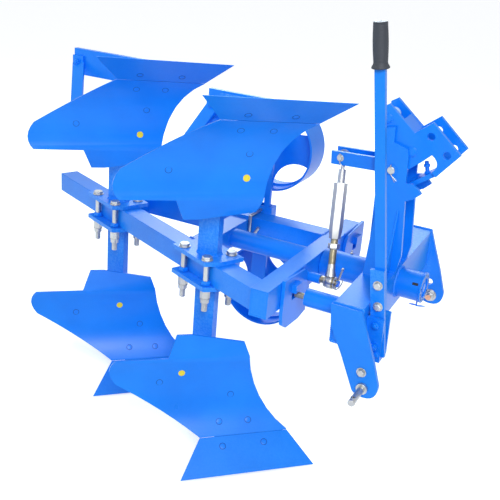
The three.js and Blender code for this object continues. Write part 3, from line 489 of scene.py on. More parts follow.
# Plough bodies: flat bolt heads with a dark ring of painted shade round each, nuts behind, welds and
# yellow dots
PLOUGH_HEAD = [(-1.5, 6.8), (0.05, 7.2), (0.5, 6.9), (0.75, 5.6), (0.8, 2)]
GROOVE_SHADE_RING = [(-1, 9.2), (0.36, 9.2), (0.5, 7.8), (-1, 7.8)]
LAND_HEAD = [(-1.5, 7.6), (0.05, 8), (0.5, 7.4), (0.6, 2)]
LAND_BOLT_Z, LAND_OUTER, LAND_NEAR, STAY_NEAR = -438.5, 21, -5, -2.3
LAND_BOLTS = (40, 190)
STAY_BOLT_BACK = {"front": 11, "rear": 155}
LEG_X, LEG_Y, FROG_TOP = (-19, 42), (-24, 1), -43
M10_NUT, M10_RADIUS = (16, 8), 4.9
DOT_SIDES = 32
DOT_RINGS = [(0.05, 0.55), (4.5, 0.55), (8.6, 0.55), (9.2, 0.5), (9.3, 0.05)]  # radius and lift


def plough_heads(bm):
    for at, out, back in bolt_seats:
        turned(bm, at, out, PLOUGH_HEAD, 28)


# raised dark rings round the bolt heads: painted shade
def groove_shade_rings(bm):
    for at, out, back in bolt_seats:
        turned(bm, at, out, GROOVE_SHADE_RING, 28, closed=True)


def plough_nuts(bm):
    for at, out, back in bolt_seats:
        fastener(bm, at - out * back, -out, (11, 4, 1.6), M10_NUT, end=(M10_RADIUS, 6))


def landside_bolts(bm, row):
    rear = -STAY_BOLT_BACK[row]
    for x, near in [(x, LAND_NEAR) for x in LAND_BOLTS] + [(rear, STAY_NEAR)]:
        seat = (x, near, LAND_BOLT_Z)
        fastener(bm, seat, -Y, (10.5, 4, 1.6), M10_NUT, phase=0.3, end=(M10_RADIUS, 5))
        turned(bm, (x, LAND_OUTER, LAND_BOLT_Z), Y, LAND_HEAD, 28)


def leg_weld(bm):
    corners = [(0, 0), (1, 0), (1, 1), (0, 1)]
    bead(bm, [(LEG_X[i], LEG_Y[j], FROG_TOP) for i, j in corners], 3.6, closed=True)


def yellow_dot(bm, centre):
    """A round dot that follows the board's curve."""
    rings = []
    for radius, lift in DOT_RINGS:
        ring = []
        for i in range(DOT_SIDES):
            a = TURN * i / DOT_SIDES
            at, out = on_board(centre[0] + radius * math.cos(a), centre[1] + radius * math.sin(a))
            ring.append(bm.verts.new(at + out * lift))
        rings.append(ring)
    for low, high in zip(rings, rings[1:]):
        for i in range(DOT_SIDES):
            bm.faces.new((low[i], low[i - 1], high[i - 1], high[i]))
    bm.faces.new(rings[0])
    bm.faces.new(rings[-1][::-1])


# Clamps of the legs on the beam
CLAMP_BOLTS = [(along, across) for along in (-53, 53) for across in (-40, 40)]
UPPER_PLATE_TOP, LOWER_PLATE_TOP, LOWER_PLATE_BOTTOM = 42.4, -29, -42.4
CLAMP_NUT_TOP, CLAMP_NUT_BOTTOM = -68.7, -81.8
CLAMP_BOLT_RADIUS, CLAMP_BORE = 8.2, 7


def clamp_washers(bm):
    for along, across in CLAMP_BOLTS:
        washer(bm, (along, across, UPPER_PLATE_TOP), Z, 16, CLAMP_BORE, 2.6)
        washer(bm, (along, across, CLAMP_NUT_TOP), -Z, 13.6, CLAMP_BORE, 1.6)
        bolt_end(bm, (along, across, CLAMP_NUT_BOTTOM), -Z, CLAMP_BOLT_RADIUS, 24.4)


def clamp_seats(bm):
    for along, across in CLAMP_BOLTS:
        hex_nut(bm, (along, across, LOWER_PLATE_TOP), Z, 24, 11, 0.4)
        washer(bm, (along, across, LOWER_PLATE_BOTTOM), -Z, 16.5, CLAMP_BORE, 2)


FRONT_X = -232
STATIONS = {"front": Vector((FRONT_X, -226.2, 0)), "rear": Vector((-674.2, -24.7, 0))}
for row, centre in STATIONS.items():
    for level, flip in (("lower", 1), ("upper", -1)):
        body_frame = ROTOR @ Matrix.Translation(centre) @ Matrix.Diagonal((1, 1, flip, 1))
        edge_frame = body_frame @ CUT_FRAME
        one = f"{level}_{row}"
        piece(f"plough_bolts_{one}", "rotor", "blue_paint", edge_frame, plough_heads)
        dark = "groove_shade"
        piece(f"groove_shade_rings_{one}", "rotor", "blue_paint", edge_frame, groove_shade_rings, surface=dark)
        piece(f"plough_nuts_{one}", "rotor", "blue_paint", edge_frame, plough_nuts, bevel=0.3)
        land = partial(landside_bolts, row=row)
        piece(f"landside_bolts_{one}", "rotor", "blue_paint", body_frame, land, bevel=0.3)
        piece(f"leg_weld_{one}", "rotor", "blue_paint", body_frame, leg_weld)
        dot = partial(yellow_dot, centre=DOT_PLACE[row, level])
        piece(f"yellow_dot_{one}", "rotor", "blue_paint", edge_frame, dot, surface="yellow_dot")
    clamp = ROTOR @ Matrix.Translation(centre) @ Matrix.Rotation(-BEAM_ANGLE, 4, "Z")
    piece(f"clamp_washers_{row}", "rotor", "zinc_plate", clamp, clamp_washers)
    piece(f"clamp_seats_{row}", "rotor", "blue_paint", clamp, clamp_seats, bevel=0.4)

# Turning frame: welds, and caps in the ends of the tubes
BEAM_HALF, BEAM_Y, BEAM_REAR = 30, -332, -975  # the beam's line meets x = 0 at that y
BEAM_START = Vector((FRONT_X, BEAM_Y - FRONT_X * math.tan(BEAM_ANGLE), 0))
along_beam = Vector((math.cos(BEAM_ANGLE), -math.sin(BEAM_ANGLE), 0))
across_beam = Vector((math.sin(BEAM_ANGLE), math.cos(BEAM_ANGLE), 0))
MIDDLE_TUBE_X, REAR_LINK_X = (-335, -275), (-690, -640)
CROSS_REAR, CROSS_FRONT, CROSS_HALF = -31.5, 20, 37.5  # weld lines on the cross tube
SIDE_TUBE_Y, SIDE_TUBE_NEAR = (100, 160), 99.6
SLEEVE_X, SLEEVE_Y = (-305, -231), 161
PLATE_Z = 38
PLATE_TOP_Y, PLATE_BOTTOM_Y = (142, 250), (150, 240)
CRANK_Y, CRANK_BEAD = -122, 14.2
SHAFT_BEAD = 28.5
CAP_HALF_Z, LINK_CAP_HALF_Z, BEAM_CAP_HALF = 32.8, 24.8, 25.3
CROSS_CAP_X, CROSS_CAPS_Y = (-26.5, 14.5), ((-360.6, -356.5), (271.5, 275.6))
SIDE_CAP_X, SIDE_CAP_Y = (-689.6, -685.5), (104.6, 155.4)
LINK_CAP_X, LINK_CAP_Y = (-683, -646), (150.6, 154.6)


def beam_side(x, offset, z):
    """The point at that x on the beam's side, offset across it."""
    start = BEAM_START + across_beam * offset
    return start + along_beam * ((x - start.x) / along_beam.x) + Z * z


def rotor_welds(bm):
    half = BEAM_HALF
    for rear, front in (MIDDLE_TUBE_X, REAR_LINK_X):
        corners = ((rear, half), (front, half), (front, -half), (rear, -half))
        bead(bm, [beam_side(x, half + 1, z) for x, z in corners], 3.6, closed=True)
    near, back = beam_side(CROSS_REAR, -half, 0), beam_side(CROSS_REAR, half, 0)
    for z in (half, -half):
        bead(bm, [near + Z * z, back + Z * z], 4)
    for p in (near, back):
        bead(bm, [p + Z * half, p - Z * half], 3.6)

    near, far = SIDE_TUBE_Y
    corners = ((near, CROSS_HALF), (far, CROSS_HALF), (far, -CROSS_HALF), (near, -CROSS_HALF))
    bead(bm, [(CROSS_REAR, y, z) for y, z in corners], 3.6, closed=True)
    rear, front = MIDDLE_TUBE_X
    corners = ((rear, half), (front, half), (front, -half), (rear, -half))
    bead(bm, [(x, SIDE_TUBE_NEAR, z) for x, z in corners], 3.4, closed=True)
    for z in (CROSS_HALF, -CROSS_HALF):
        bead(bm, [(x, SLEEVE_Y, z) for x in SLEEVE_X], 3.2)
    for x in SLEEVE_X:
        bead(bm, [(x, SLEEVE_Y - 0.2, CROSS_HALF - 1.5), (x, SLEEVE_Y - 0.2, 1.5 - CROSS_HALF)], 3)
    for side in (-1, 1):
        bead(bm, [(CROSS_FRONT, side * y, PLATE_Z) for y in PLATE_TOP_Y], 2.8)
        bead(bm, [(CROSS_FRONT, side * y, -PLATE_Z) for y in PLATE_BOTTOM_Y], 2.8)
    round_bead(bm, (CROSS_FRONT, CRANK_Y, 0), X, CRANK_BEAD, 2.6, 40)
    round_bead(bm, (MIDDLE_TUBE_X[1], 0, 0), X, SHAFT_BEAD, 3, 60)


def tube_caps(bm):
    for y_range in CROSS_CAPS_Y:
        box(bm, CROSS_CAP_X, y_range, (-CAP_HALF_Z, CAP_HALF_Z))
    box(bm, SIDE_CAP_X, SIDE_CAP_Y, (-CAP_HALF_Z, CAP_HALF_Z))
    box(bm, LINK_CAP_X, LINK_CAP_Y, (-LINK_CAP_HALF_Z, LINK_CAP_HALF_Z))


def beam_cap(bm):
    end = (BEAM_REAR - FRONT_X) / math.cos(BEAM_ANGLE)
    across = (-BEAM_CAP_HALF, BEAM_CAP_HALF)
    box(bm, (end + 0.5, end + 4.5), across, across)


piece("rotor_welds", "rotor", "blue_paint", ROTOR, rotor_welds)
piece("cross_tube_caps", "rotor", "blue_paint", ROTOR, tube_caps, bevel=0.8)
beam_place = ROTOR @ Matrix.Translation(BEAM_START) @ Matrix.Rotation(-BEAM_ANGLE, 4, "Z")
piece("beam_cap", "rotor", "blue_paint", beam_place, beam_cap, bevel=0.8)

# Gauge wheels
HUB = Vector((-268, 249, 232))
HUB_BEAD, RIM_BEAD = 20.6, 127.4
HUB_FACE, AXLE_NEAR, AXLE_END = 4, 29.4, 36.4
ARM_FACE = {"upper": 184, "lower": 195.5}
AXLE_BEAD = 11


def wheel_welds(bm):
    for side in (-1, 1):
        round_bead(bm, HUB + Y * side * HUB_FACE, Y, HUB_BEAD, 2.8, 40)
        round_bead(bm, HUB + Y * side * (HUB_FACE - 0.4), Y, RIM_BEAD, 2.2, 200)


def axle_bits(bm, face):
    washer(bm, HUB - Y * AXLE_NEAR, -Y, 17, 9.6, 2.4)
    round_bead(bm, (HUB.x, face, HUB.z), Y, AXLE_BEAD, 2.2, 28)
    hex_nut(bm, HUB + Y * AXLE_END, Y, 17, 2.6)


for level, flip in (("upper", 1), ("lower", -1)):
    place = ROTOR @ Matrix.Diagonal((1, 1, flip, 1))
    piece(f"wheel_welds_{level}", f"wheel_{level}", "blue_paint", place, wheel_welds)
    axle = partial(axle_bits, face=ARM_FACE[level])
    piece(f"axle_bits_{level}", f"arm_{level}", "zinc_plate", place, axle, bevel=0.2)

# Headstock: welds, the bearing tube's end, slot and nipple
HEADBEAM_X = (163.6, 240.4)
HEADBEAM_TOP = 46
BEARING_BEAD = 41.5
LOCK_TUBE_Y, LOCK_TUBE_BEAD = -218, 25
MAST_FACES = (48.8, 38.2)
MAST_X, BRACE_X = (162, 238), (169, 226)
BRACE_FOOT, BRACE_TOP, BRACE_TOP_Z = 100, 50, 222
CHEEK_INNER, CHEEK_Z = 281.5, (45.4, -65.4)
RING_X = 306.6
END_RING = [(0, 27.8), (0, 41.4), (0.8, 42), (4.6, 42), (5.4, 41.4), (5.4, 27.8)]
SLOT_X, SLOT_EDGE = (286, 302.5), 0.4
SLOT_START, SLOT_STEP, SLOT_STEPS = math.radians(141), math.radians(2.2), 6
SLOT_LOW, SLOT_PROUD = 39.5, 40.25
NIPPLE_X, NIPPLE_ANGLE, NIPPLE_SEAT = 93, math.radians(70), 39.6
NIPPLE = [(3, 2.6), (5, 2.4), (6.2, 1.9), (7.2, 2.7), (8.6, 2.9), (9.6, 2.2), (10.1, 1)]


def headstock_welds(bm):
    for x in HEADBEAM_X:
        round_bead(bm, (x, 0, 0), X, BEARING_BEAD, 3.6, 90)
    rear, front = HEADBEAM_X
    round_bead(bm, (rear, LOCK_TUBE_Y, 0), X, LOCK_TUBE_BEAD, 3.2, 60)
    for side in (-1, 1):
        for y in MAST_FACES:
            bead(bm, [(x, side * y, HEADBEAM_TOP) for x in MAST_X], 3.4)
        bead(bm, [(x, side * BRACE_FOOT, HEADBEAM_TOP) for x in BRACE_X], 3.4)
        foot = (BRACE_X[1] + 0.4, side * (BRACE_FOOT - 2), HEADBEAM_TOP + 0.6)
        bead(bm, [foot, (BRACE_X[1] + 0.4, side * BRACE_TOP, BRACE_TOP_Z)], 2.6)
        high, low = CHEEK_Z
        corners = ((rear - 0.1, high), (front + 0.1, high), (front + 0.1, low), (rear - 0.1, low))
        bead(bm, [(x, side * CHEEK_INNER, z) for x, z in corners], 3.6, closed=True)


def bearing_end(bm):
    washer(bm, (RING_X - 3.1, 0, 0), X, 41.2, 38.5, 1.8)
    turned(bm, (RING_X, 0, 0), X, END_RING, 56, closed=True)
    hex_nut(bm, (RING_X - 2.6, 0, 0), X, 24, 7)


def bearing_slot(bm):
    """A dark patch of painted shade in the tube's slot, raised by a hair inside its edge."""
    rear, front = SLOT_X
    grid = []
    for x in (rear, rear + SLOT_EDGE, front - SLOT_EDGE, front):
        line = []
        for k in range(SLOT_STEPS + 1):
            angle = SLOT_START + SLOT_STEP * k
            inside = rear < x < front and 0 < k < SLOT_STEPS
            radius = SLOT_PROUD if inside else SLOT_LOW
            line.append(bm.verts.new((x, radius * math.cos(angle), radius * math.sin(angle))))
        grid.append(line)
    for low, high in zip(grid, grid[1:]):
        for k in range(SLOT_STEPS):
            bm.faces.new((low[k], low[k + 1], high[k + 1], high[k]))


def grease_nipple(bm):
    out = Vector((0, math.cos(NIPPLE_ANGLE), math.sin(NIPPLE_ANGLE)))
    at = X * NIPPLE_X + out * NIPPLE_SEAT
    hex_nut(bm, at, out, 9, 3.5)
    turned(bm, at, out, NIPPLE, 20)


piece("headstock_welds", "headstock", "blue_paint", HEAD, headstock_welds)
piece("bearing_end", "headstock", "blue_paint", HEAD, bearing_end, bevel=0.4)
piece("bearing_slot", "headstock", "blue_paint", HEAD, bearing_slot, surface="opening_shade")
piece("grease_nipple", "headstock", "zinc_plate", HEAD, grease_nipple)

# Headstock: the near cheek's bolt, the lower link pins' washers and ends, and the split pin
CHEEK_BOLT, CHEEK_BOLT_GRIP = Vector((257, -292.2, -122)), 10.4
CHEEK_HOLE = 9.7
LINK_PIN = Vector((264, 0, -166))
M10_LONG_NUT = (17, 8)
PIN_END = [(-1, 8.6), (0.3, 8.8), (1.4, 7.9), (1.6, 3)]
PIN_END_Y, PIN_WASHER_Y, SECOND_WASHER_Y, COLLAR_Y, CROSS_HOLE_Y = 262, 281.9, 279.3, 301.2, 356
CROSS_HOLE_Z = 7.6
SPLIT_PIN_PLACE = (297, 0, -44)
SPLIT_LEGS = [(-19, -5, 1.5), (22, 6, 1.5)]
EYE_GAP, EYE_STEPS = 0.4, 18
EYE_STAND, SHANK_BACK, SHANK_OVER = 6, 6, 14


def split_pin(bm, at, through, legs, wire=1.5, head=5.0):
    """A split pin: an eye, a doubled shank and two spread legs."""
    at, through = Vector(at), Vector(through).normalized()
    side = through.cross(Vector(legs[0])).normalized()
    eye = at - through * (head + EYE_STAND)
    angles = [EYE_GAP + (TURN - 2 * EYE_GAP) * k / EYE_STEPS for k in range(EYE_STEPS + 1)]
    for sign, leg in zip((1, -1), legs):
        off = side * wire * 0.8 * sign
        end = at + through * SHANK_OVER + off
        tip = end + Vector(leg)
        tube(bm, [at - through * SHANK_BACK + off, at + off, end, end + Vector(leg) * 0.5, tip], wire)
    tube(bm, [eye + (through * math.cos(a) + side * math.sin(a)) * head for a in angles], wire)


def cheek_fasteners(bm):
    """The bolt through the near cheek's upper hole, and the washers of both lower link pins."""
    fastener(bm, CHEEK_BOLT, -Y, (13, 6, 2), (17, 7), phase=0.3)
    filling = CHEEK_BOLT_GRIP - 0.2
    turned(bm, CHEEK_BOLT + Y * filling, -Y, [(0, CHEEK_HOLE), (filling - 0.4, CHEEK_HOLE)])
    fastener(bm, CHEEK_BOLT + Y * CHEEK_BOLT_GRIP, Y, (13, 6, 2), M10_LONG_NUT, end=(M10_RADIUS, 6))
    for side in (-1, 1):
        washer(bm, LINK_PIN + Y * side * PIN_WASHER_Y, Y * -side, 20, 9, 2.6)
        washer(bm, LINK_PIN + Y * side * SECOND_WASHER_Y, Y * -side, 18, 9, 2.2)
        washer(bm, LINK_PIN + Y * side * COLLAR_Y, Y * side, 12, 8.5, 1.2)
        for over in (1, -1):
            at = LINK_PIN + Y * side * CROSS_HOLE_Y + Z * over * CROSS_HOLE_Z
            washer(bm, at, Z * over, 6.6, 4.1, 2.6)


def lower_pin_ends(bm):
    for side in (-1, 1):
        turned(bm, LINK_PIN + Y * side * PIN_END_Y, Y * -side, PIN_END, 28)


def bearing_split_pin(bm):
    split_pin(bm, SPLIT_PIN_PLACE, -Z, SPLIT_LEGS, wire=2.4)


piece("cheek_fasteners", "headstock", "zinc_plate", HEAD, cheek_fasteners, bevel=0.25)
piece("lower_pin_ends", "headstock", "zinc_plate", HEAD, lower_pin_ends, surface="copper_tint")
piece("bearing_split_pin", "headstock", "blue_paint", HEAD, bearing_split_pin)

# Lever's bracket: blue bolts, the pivot's head and a hairpin clip on its far end
BRACKET_NEAR, BRACKET_FAR = -246.5, -190
BRACKET_BOLTS = ((265.5, -5), (267.5, -66))
BRACKET_NUT = (17, 7.5)
LEVER_PIVOT = Vector((275, 0, -90))
PIVOT_HEAD = [(0, 7.4), (3, 7.4), (4.4, 5.4), (4.6, 2)]
CLIP_WIRE, CLIP_LOOP, CLIP_LOOP_Z = 1.3, 5, 22


def bracket_bolts(bm):
    for x, z in BRACKET_BOLTS:
        fastener(bm, (x, BRACKET_NEAR, z), -Y, (12.5, 5, 2), BRACKET_NUT, phase=0.2, end=(5, 3.5))
        fastener(bm, (x, BRACKET_FAR, z), Y, (12, 5, 2), BRACKET_NUT)
    washer(bm, LEVER_PIVOT + Y * BRACKET_NEAR, -Y, 9, 3, 1.5)
    turned(bm, LEVER_PIVOT + Y * (BRACKET_NEAR - 0.2), -Y, PIVOT_HEAD)


def bracket_clip(bm):
    turned(bm, LEVER_PIVOT + Y * (BRACKET_FAR - 1), Y, [(0, 6), (9.5, 6), (10.5, 5)], 20)
    face = LEVER_PIVOT + Y * (BRACKET_FAR + 4)
    loop = circle(face + Y * 2 + Z * CLIP_LOOP_Z, X, CLIP_LOOP, 20, 0.6, 5.0)
    shank = [face + Y - Z * 14, face + Y + Z * 14]
    tube(bm, shank + loop + [face + Y * 6 + Z * 10, face + Y * 5 - Z * 10], CLIP_WIRE)


piece("bracket_bolts", "headstock", "blue_paint", HEAD, bracket_bolts, bevel=0.3)
piece("bracket_clip", "headstock", "zinc_plate", HEAD, bracket_clip)

# Release lever: its bolts and moulded grip
LEVER = HEAD @ Matrix.Translation(LEVER_PIVOT) @ Matrix.Rotation(-LEVER_LEAN, 4, "Y")
LEVER_FACE, LEVER_BACK = -236.15, -214.15
FOOT_BOLTS = (131, 188)
GRIP_BASE = (4, LEVER_FACE + 16, 712)
GRIP_FOOT = [(0.2, 12.5), (0.2, 19), (1.4, 20.8), (3, 20.9), (6, 19.6), (9, 17.6), (12, 16.6)]
GRIP_TOP = [(98.6, 16.6), (99.4, 15.9), (99.8, 16.4), (101, 16.2), (101.6, 14.8), (101.6, 13)]
GRIP_BORE = [(90, 12.9), (8, 13.2)]
RIBS, RIB_START, RIB_PITCH, RIB_DEPTH = 28, 14, 3, 0.28
WAIST, SWELL = 16.4, 1.3
CAP = [(88, 12.8), (101.4, 12.9), (101.8, 15.2), (102.6, 15.3)]
CAP += [(103, 14.2), (102.6, 6), (102, 2.6), (99, 2.4)]
CAP_HOLE = [(98.5, 2.6), (102.3, 2.6), (102.4, 2.2)]


def lever_bolts(bm):
    for h in FOOT_BOLTS:
        fastener(bm, (2, LEVER_FACE, h), -Y, (12.5, 5, 2), (17, 7), phase=0.25)
        fastener(bm, (4, LEVER_BACK, h), Y, (11.5, 5, 2), M10_LONG_NUT, end=(M10_RADIUS, 5))


def moulded_grip(bm):
    """Moulded grip: flared foot, fine ribs on a swelling middle, and a rounded top."""
    rows = list(GRIP_FOOT)
    for k in range(RIBS):
        h = RIB_START + k * RIB_PITCH
        radius = WAIST + SWELL * math.sin(math.pi * k / (RIBS - 1))
        rows += [(h, radius), (h + 0.7, radius - RIB_DEPTH), (h + 1.3, radius)]
    turned(bm, GRIP_BASE, Z, rows + GRIP_TOP + GRIP_BORE, 48, closed=True)


def grip_cap(bm):
    turned(bm, GRIP_BASE, Z, CAP, 40)


# a dark disc of painted shade in the cap's hole
def grip_hole(bm):
    turned(bm, GRIP_BASE, Z, CAP_HOLE, 16)


piece("lever_bolts", "lever", "zinc_plate", LEVER, lever_bolts, bevel=0.3)
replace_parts(piece("moulded_grip", "lever", "grip_rubber", LEVER, moulded_grip), "lever_grip")
piece("grip_cap", "lever", "grip_rubber", LEVER, grip_cap, surface="pale_cap")
piece("grip_hole", "lever", "grip_rubber", LEVER, grip_hole, surface="opening_shade")

# Pivot of the rocker, its top-link plates and its eye pin
PIVOT, MAST_OUTER = Vector((196, 0, 326.5)), 48.6
CROSS_PINS = [Vector((240.1, 0, 380)), Vector((167.1, 0, 453.9))]
PLATE_OUTER = 37.5
PIN_HEAD = [(-0.5, 10.6), (2.6, 10.6), (3.8, 9.4), (4, 4)]
ROLLER = [(0, 8.2), (0, 15.5), (1.4, 17), (7, 17), (8.4, 15.5), (8.4, 8.2)]
SCREW_LEAN, SCREW_FOOT = math.radians(12), Vector((278.9, 0, 308))
SCREW_RADIUS, SCREW_LENGTH, SCREW_NUTS = 5.6, 42.4, ((10, 7.5), (30, 6))
EYE_PIN, FORK_OUTER = Vector((48, 0, 322)), 25.5
EYE_PIN_END = [(-0.5, 6), (6.5, 6), (7.4, 5.2), (7.5, 2)]
ROCKER_BEAD, ROCKER_FACE = 20.8, 16.9


def pivot_washers(bm):
    washer(bm, PIVOT - Y * MAST_OUTER, -Y, 15, 9.8, 2.2)
    washer(bm, PIVOT + Y * MAST_OUTER, Y, 16.5, 9.8, 1.6)


def pivot_split_pin(bm):
    at = PIVOT - Y * (MAST_OUTER + 3.7) + Z * 2
    split_pin(bm, at, (0.1, 0, -1), [(17, -3, -12), (10, 3, -19)], wire=1.2, head=3.2)


def cross_pin_heads(bm):
    for pin in CROSS_PINS:
        for side in (-1, 1):
            turned(bm, pin + Y * side * PLATE_OUTER, Y * side, PIN_HEAD, 32)
        round_bead(bm, pin - Y * (PLATE_OUTER + 0.5), Y, 11.6, 1.7, 32)


def plate_roller(bm):
    pin = CROSS_PINS[1]
    turned(bm, pin + Y * 8, Y, ROLLER, 40, closed=True)
    washer(bm, pin + Y * 4, Y, 15, 8.2, 2.5)


def stop_screw_bits(bm):
    out = Vector((-math.sin(SCREW_LEAN), 0, math.cos(SCREW_LEAN)))
    bolt_end(bm, SCREW_FOOT + out, out, SCREW_RADIUS, SCREW_LENGTH)
    for up, height in SCREW_NUTS:
        hex_nut(bm, SCREW_FOOT + out * up, out, 16, height, 0.3)


def eye_pin_bits(bm):
    for side, outer in ((-1, 9.5), (1, 11.4)):
        washer(bm, EYE_PIN + Y * side * (FORK_OUTER + 0.1), Y * side, outer, 5.5, 1.8)
        turned(bm, EYE_PIN + Y * side * FORK_OUTER, Y * side, EYE_PIN_END)
    at = EYE_PIN - Y * (FORK_OUTER + 4.7) + Z
    split_pin(bm, at, (0.1, 0, -1), [(15, -2, -11), (9, 3, -13)], wire=1.1, head=2.6)


def rocker_welds(bm):
    for side in (-1, 1):
        round_bead(bm, PIVOT + Y * side * ROCKER_FACE, Y, ROCKER_BEAD, 2.4, 50)


piece("pivot_washers", "headstock", "blue_paint", HEAD, pivot_washers, bevel=0.2)
piece("pivot_split_pin", "headstock", "zinc_plate", HEAD, pivot_split_pin)
piece("cross_pin_heads", "rocker", "blue_paint", HEAD, cross_pin_heads)
piece("plate_roller", "rocker", "blue_paint", HEAD, plate_roller, surface="pale_blue_roller")
piece("stop_screw_bits", "rocker", "blue_paint", HEAD, stop_screw_bits, bevel=0.3)
piece("eye_pin_bits", "rocker", "zinc_plate", HEAD, eye_pin_bits)
piece("rocker_welds", "rocker", "blue_paint", HEAD, rocker_welds)

# Turnbuckle: thread crests, lock nut, rod end and the linchpin of the crank
CRANK = Vector((87, -121.68, 8.79))
link_line = (CRANK - EYE_PIN).normalized()
link_length = (CRANK - EYE_PIN).length
CREST_PITCH, CREST_STEPS = 2.4, 16
ROD_NECK_BACK = 48  # from the crank pin to where the rod end's neck starts
ROD_NECK = [(0, 9.3), (3, 10.3), (16, 11.2), (26, 13.6), (34, 15.5)]
LOCK_NUT_START, LOCK_NUT = 235.6, (28.2, 14.2)
LOWER_CREST, UPPER_CREST = (9.4, 0.8), (9.9, 0.6)
LOWER_START, UPPER_RANGE = 222, (52, 75)
CRANK_WASHERS = (73.3, 100.1)
RING_HALF = 10.5
RING_SHELL = [(0, 12), (0, 15.6), (2.2, 17.4), (7, 18.2), (14, 18.2), (18.8, 17.4), (21, 15.6), (21, 12)]
LINCHPIN_X, LINCHPIN_LEAN = 107.8, (0.27, 0, 1)
LINCHPIN = [(-17, 1.6), (-15, 2.8), (40, 2.8), (43, 3.6), (49, 3.8), (51, 2.6)]
LINCH_RING_AXIS, LINCH_RING, LINCH_WIRE = (0.95, -0.25, -0.27), 16, 1.5
CRANK_END_X, CRANK_END = 108.5, [(-1, 9.3), (4, 9.3), (5, 8.2), (5.2, 3)]


def crests(bm, start, end, radius, wire):
    """A thread's crest wound round the link's line."""
    turn = basis(link_line)
    points = []
    for i in range(int((end - start) / CREST_PITCH * CREST_STEPS) + 1):
        a = TURN * i / CREST_STEPS
        spot = turn @ Vector((radius * math.cos(a), radius * math.sin(a), 0))
        points.append(EYE_PIN + link_line * (start + CREST_PITCH * i / CREST_STEPS) + spot)
    tube(bm, points, wire, 5)


def lower_thread(bm):
    crests(bm, LOWER_START, link_length - ROD_NECK_BACK, *LOWER_CREST)


def upper_thread(bm):
    crests(bm, *UPPER_RANGE, *UPPER_CREST)


def lock_nut(bm):
    hex_nut(bm, EYE_PIN + link_line * LOCK_NUT_START, link_line, *LOCK_NUT)
    turned(bm, EYE_PIN + link_line * (link_length - ROD_NECK_BACK), link_line, ROD_NECK, 32)
    for x in CRANK_WASHERS:
        washer(bm, (x, CRANK.y, CRANK.z), X, 16.6, 9.4, 3.4)
    turned(bm, CRANK - X * RING_HALF, X, RING_SHELL, 40, closed=True)


def crank_linchpin(bm):
    at = Vector((LINCHPIN_X, CRANK.y, CRANK.z))
    turned(bm, at, LINCHPIN_LEAN, LINCHPIN, 20)
    ring = circle(at + X * 4.6 - Z * 2, LINCH_RING_AXIS, LINCH_RING, 40, 2.2, 5.2)
    tube(bm, ring, LINCH_WIRE)


def crank_pin_end(bm):
    turned(bm, (CRANK_END_X, CRANK.y, CRANK.z), X, CRANK_END, 28)


piece("lower_thread", "turnbuckle", "yellow_zinc", HEAD, lower_thread)
piece("upper_thread", "turnbuckle", "zinc_plate", HEAD, upper_thread)
piece("lock_nut", "turnbuckle", "zinc_plate", HEAD, lock_nut, bevel=0.3)
piece("crank_linchpin", "turnbuckle", "zinc_plate", HEAD, crank_linchpin)
piece("crank_pin_end", "turnbuckle", "blue_paint", HEAD, crank_pin_end)

# Floor and world
FLOOR_RADIUS, FLOOR_DROP = 60, 0.001
FLOOR_COLOUR = (0.86, 0.87, 0.88, 1)
FLOOR_GLOW = (0.6, 0.6, 0.6, 1)
SKY_COLOUR, SKY_STRENGTH = (0.93, 0.96, 1, 1), 0.42


def seen_white(tree):
    """One for rays from the camera and for mirrored and passed-through ones, and nought for the rest."""
    path = tree.nodes.new("ShaderNodeLightPath")
    most = path.outputs["Is Camera Ray"]
    for key in ("Is Glossy Ray", "Is Transmission Ray"):
        step = tree.nodes.new("ShaderNodeMath")
        step.operation = "MAXIMUM"
        tree.links.new(most, step.inputs[0])
        tree.links.new(path.outputs[key], step.inputs[1])
        most = step.outputs[0]
    return most


def pale_floor():
    """Pale paint that keeps the shadow, with a glow that brings it to the background's white."""
    pale = bpy.data.materials.new("pale_floor")
    pale.use_nodes = True
    tree = pale.node_tree
    surface = tree.nodes["Principled BSDF"]
    surface.inputs["Base Color"].default_value = FLOOR_COLOUR
    surface.inputs["Roughness"].default_value = 0.9
    surface.inputs["Specular IOR Level"].default_value = 0.1
    glow = add_node(tree, "ShaderNodeEmission", {"Color": FLOOR_GLOW})
    both = tree.nodes.new("ShaderNodeAddShader")
    tree.links.new(seen_white(tree), glow.inputs["Strength"])
    tree.links.new(surface.outputs[0], both.inputs[0])
    tree.links.new(glow.outputs[0], both.inputs[1])
    tree.links.new(both.outputs[0], tree.nodes["Material Output"].inputs["Surface"])
    return pale


def studio_world():
    """Soft light all round, seen as white by the camera and in reflections."""
    world = bpy.data.worlds.new("studio")
    world.use_nodes = True
    tree = world.node_tree
    lit = tree.nodes["Background"]
    lit.inputs["Color"].default_value = SKY_COLOUR
    lit.inputs["Strength"].default_value = SKY_STRENGTH
    seen = add_node(tree, "ShaderNodeBackground", {"Color": (1, 1, 1, 1), "Strength": 1.0})
    mix = tree.nodes.new("ShaderNodeMixShader")
    tree.links.new(seen_white(tree), mix.inputs["Fac"])
    tree.links.new(lit.outputs[0], mix.inputs[1])
    tree.links.new(seen.outputs[0], mix.inputs[2])
    tree.links.new(mix.outputs[0], tree.nodes["World Output"].inputs["Surface"])
    return world


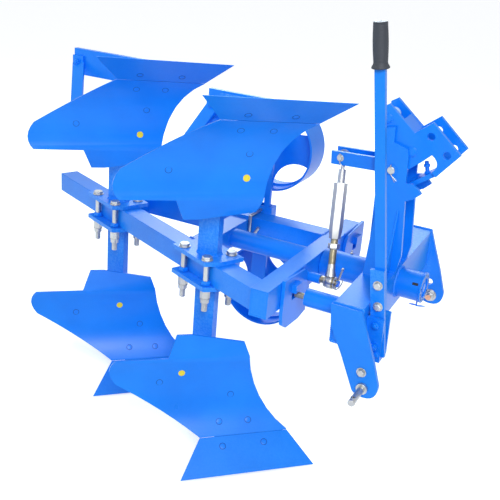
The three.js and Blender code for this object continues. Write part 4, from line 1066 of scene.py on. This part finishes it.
ground = (0, 0, cad_box[0][2] - FLOOR_DROP)
bpy.ops.mesh.primitive_circle_add(vertices=96, radius=FLOOR_RADIUS, fill_type="NGON", location=ground)
floor = bpy.context.object
floor.name = "floor"
floor.data.materials.append(pale_floor())
bpy.context.scene.world = studio_world()

# Lamps, in metres and watts
LAMP_TARGET = Vector((-0.4, 0, 0.1))
LAMPS = {
    "key": {"place": (1.2, -2.6, 2.6), "size": 1.5, "power": 92, "tint": (0.97, 0.99, 1)},
    "over": {"place": (-1.5, 2.6, 1.8), "size": 2.0, "power": 50, "tint": (0.8, 0.95, 1)},
    "side": {"place": (-3.2, -1.6, 1.6), "size": 2.4, "power": 24, "tint": (0.7, 0.93, 1)},
}


def soft_box(name, place, size, power, tint):
    data = bpy.data.lights.new(name, "AREA")
    data.shape = "SQUARE"
    data.size = size
    data.energy = power
    data.color = tint
    lamp = bpy.data.objects.new(name, data)
    lamp.location = place
    lamp.rotation_euler = (LAMP_TARGET - Vector(place)).to_track_quat("-Z", "Y").to_euler()
    lamp.visible_camera = False
    bpy.context.scene.collection.objects.link(lamp)


for name, values in LAMPS.items():
    soft_box(name, **values)

# Camera at the photograph's viewpoint, with its focal length in pixels of the 500-pixel frame
FOCAL_PX, FRAME_PX, SENSOR = 844.19, 500, 36
CAMERA_PLACE = (0.52769, -2.00672, 1.21781)
CAMERA_RIGHT = Vector((0.8830036, 0.46732133, 0.04376552))
CAMERA_UP = Vector((-0.23752551, 0.36447943, 0.900409))
CAMERA_BACK = Vector((0.40482871, -0.80545982, 0.43283739))
camera_data = bpy.data.cameras.new("camera")
camera_data.sensor_width = SENSOR
camera_data.lens = FOCAL_PX * SENSOR / FRAME_PX
camera_data.clip_end = 200
camera = bpy.data.objects.new("camera", camera_data)
camera_turn = Matrix((CAMERA_RIGHT, CAMERA_UP, CAMERA_BACK)).transposed().to_4x4()
camera.matrix_world = Matrix.Translation(CAMERA_PLACE) @ camera_turn
bpy.context.scene.collection.objects.link(camera)
bpy.context.scene.camera = camera
bpy.context.scene.view_settings.view_transform = "Standard"
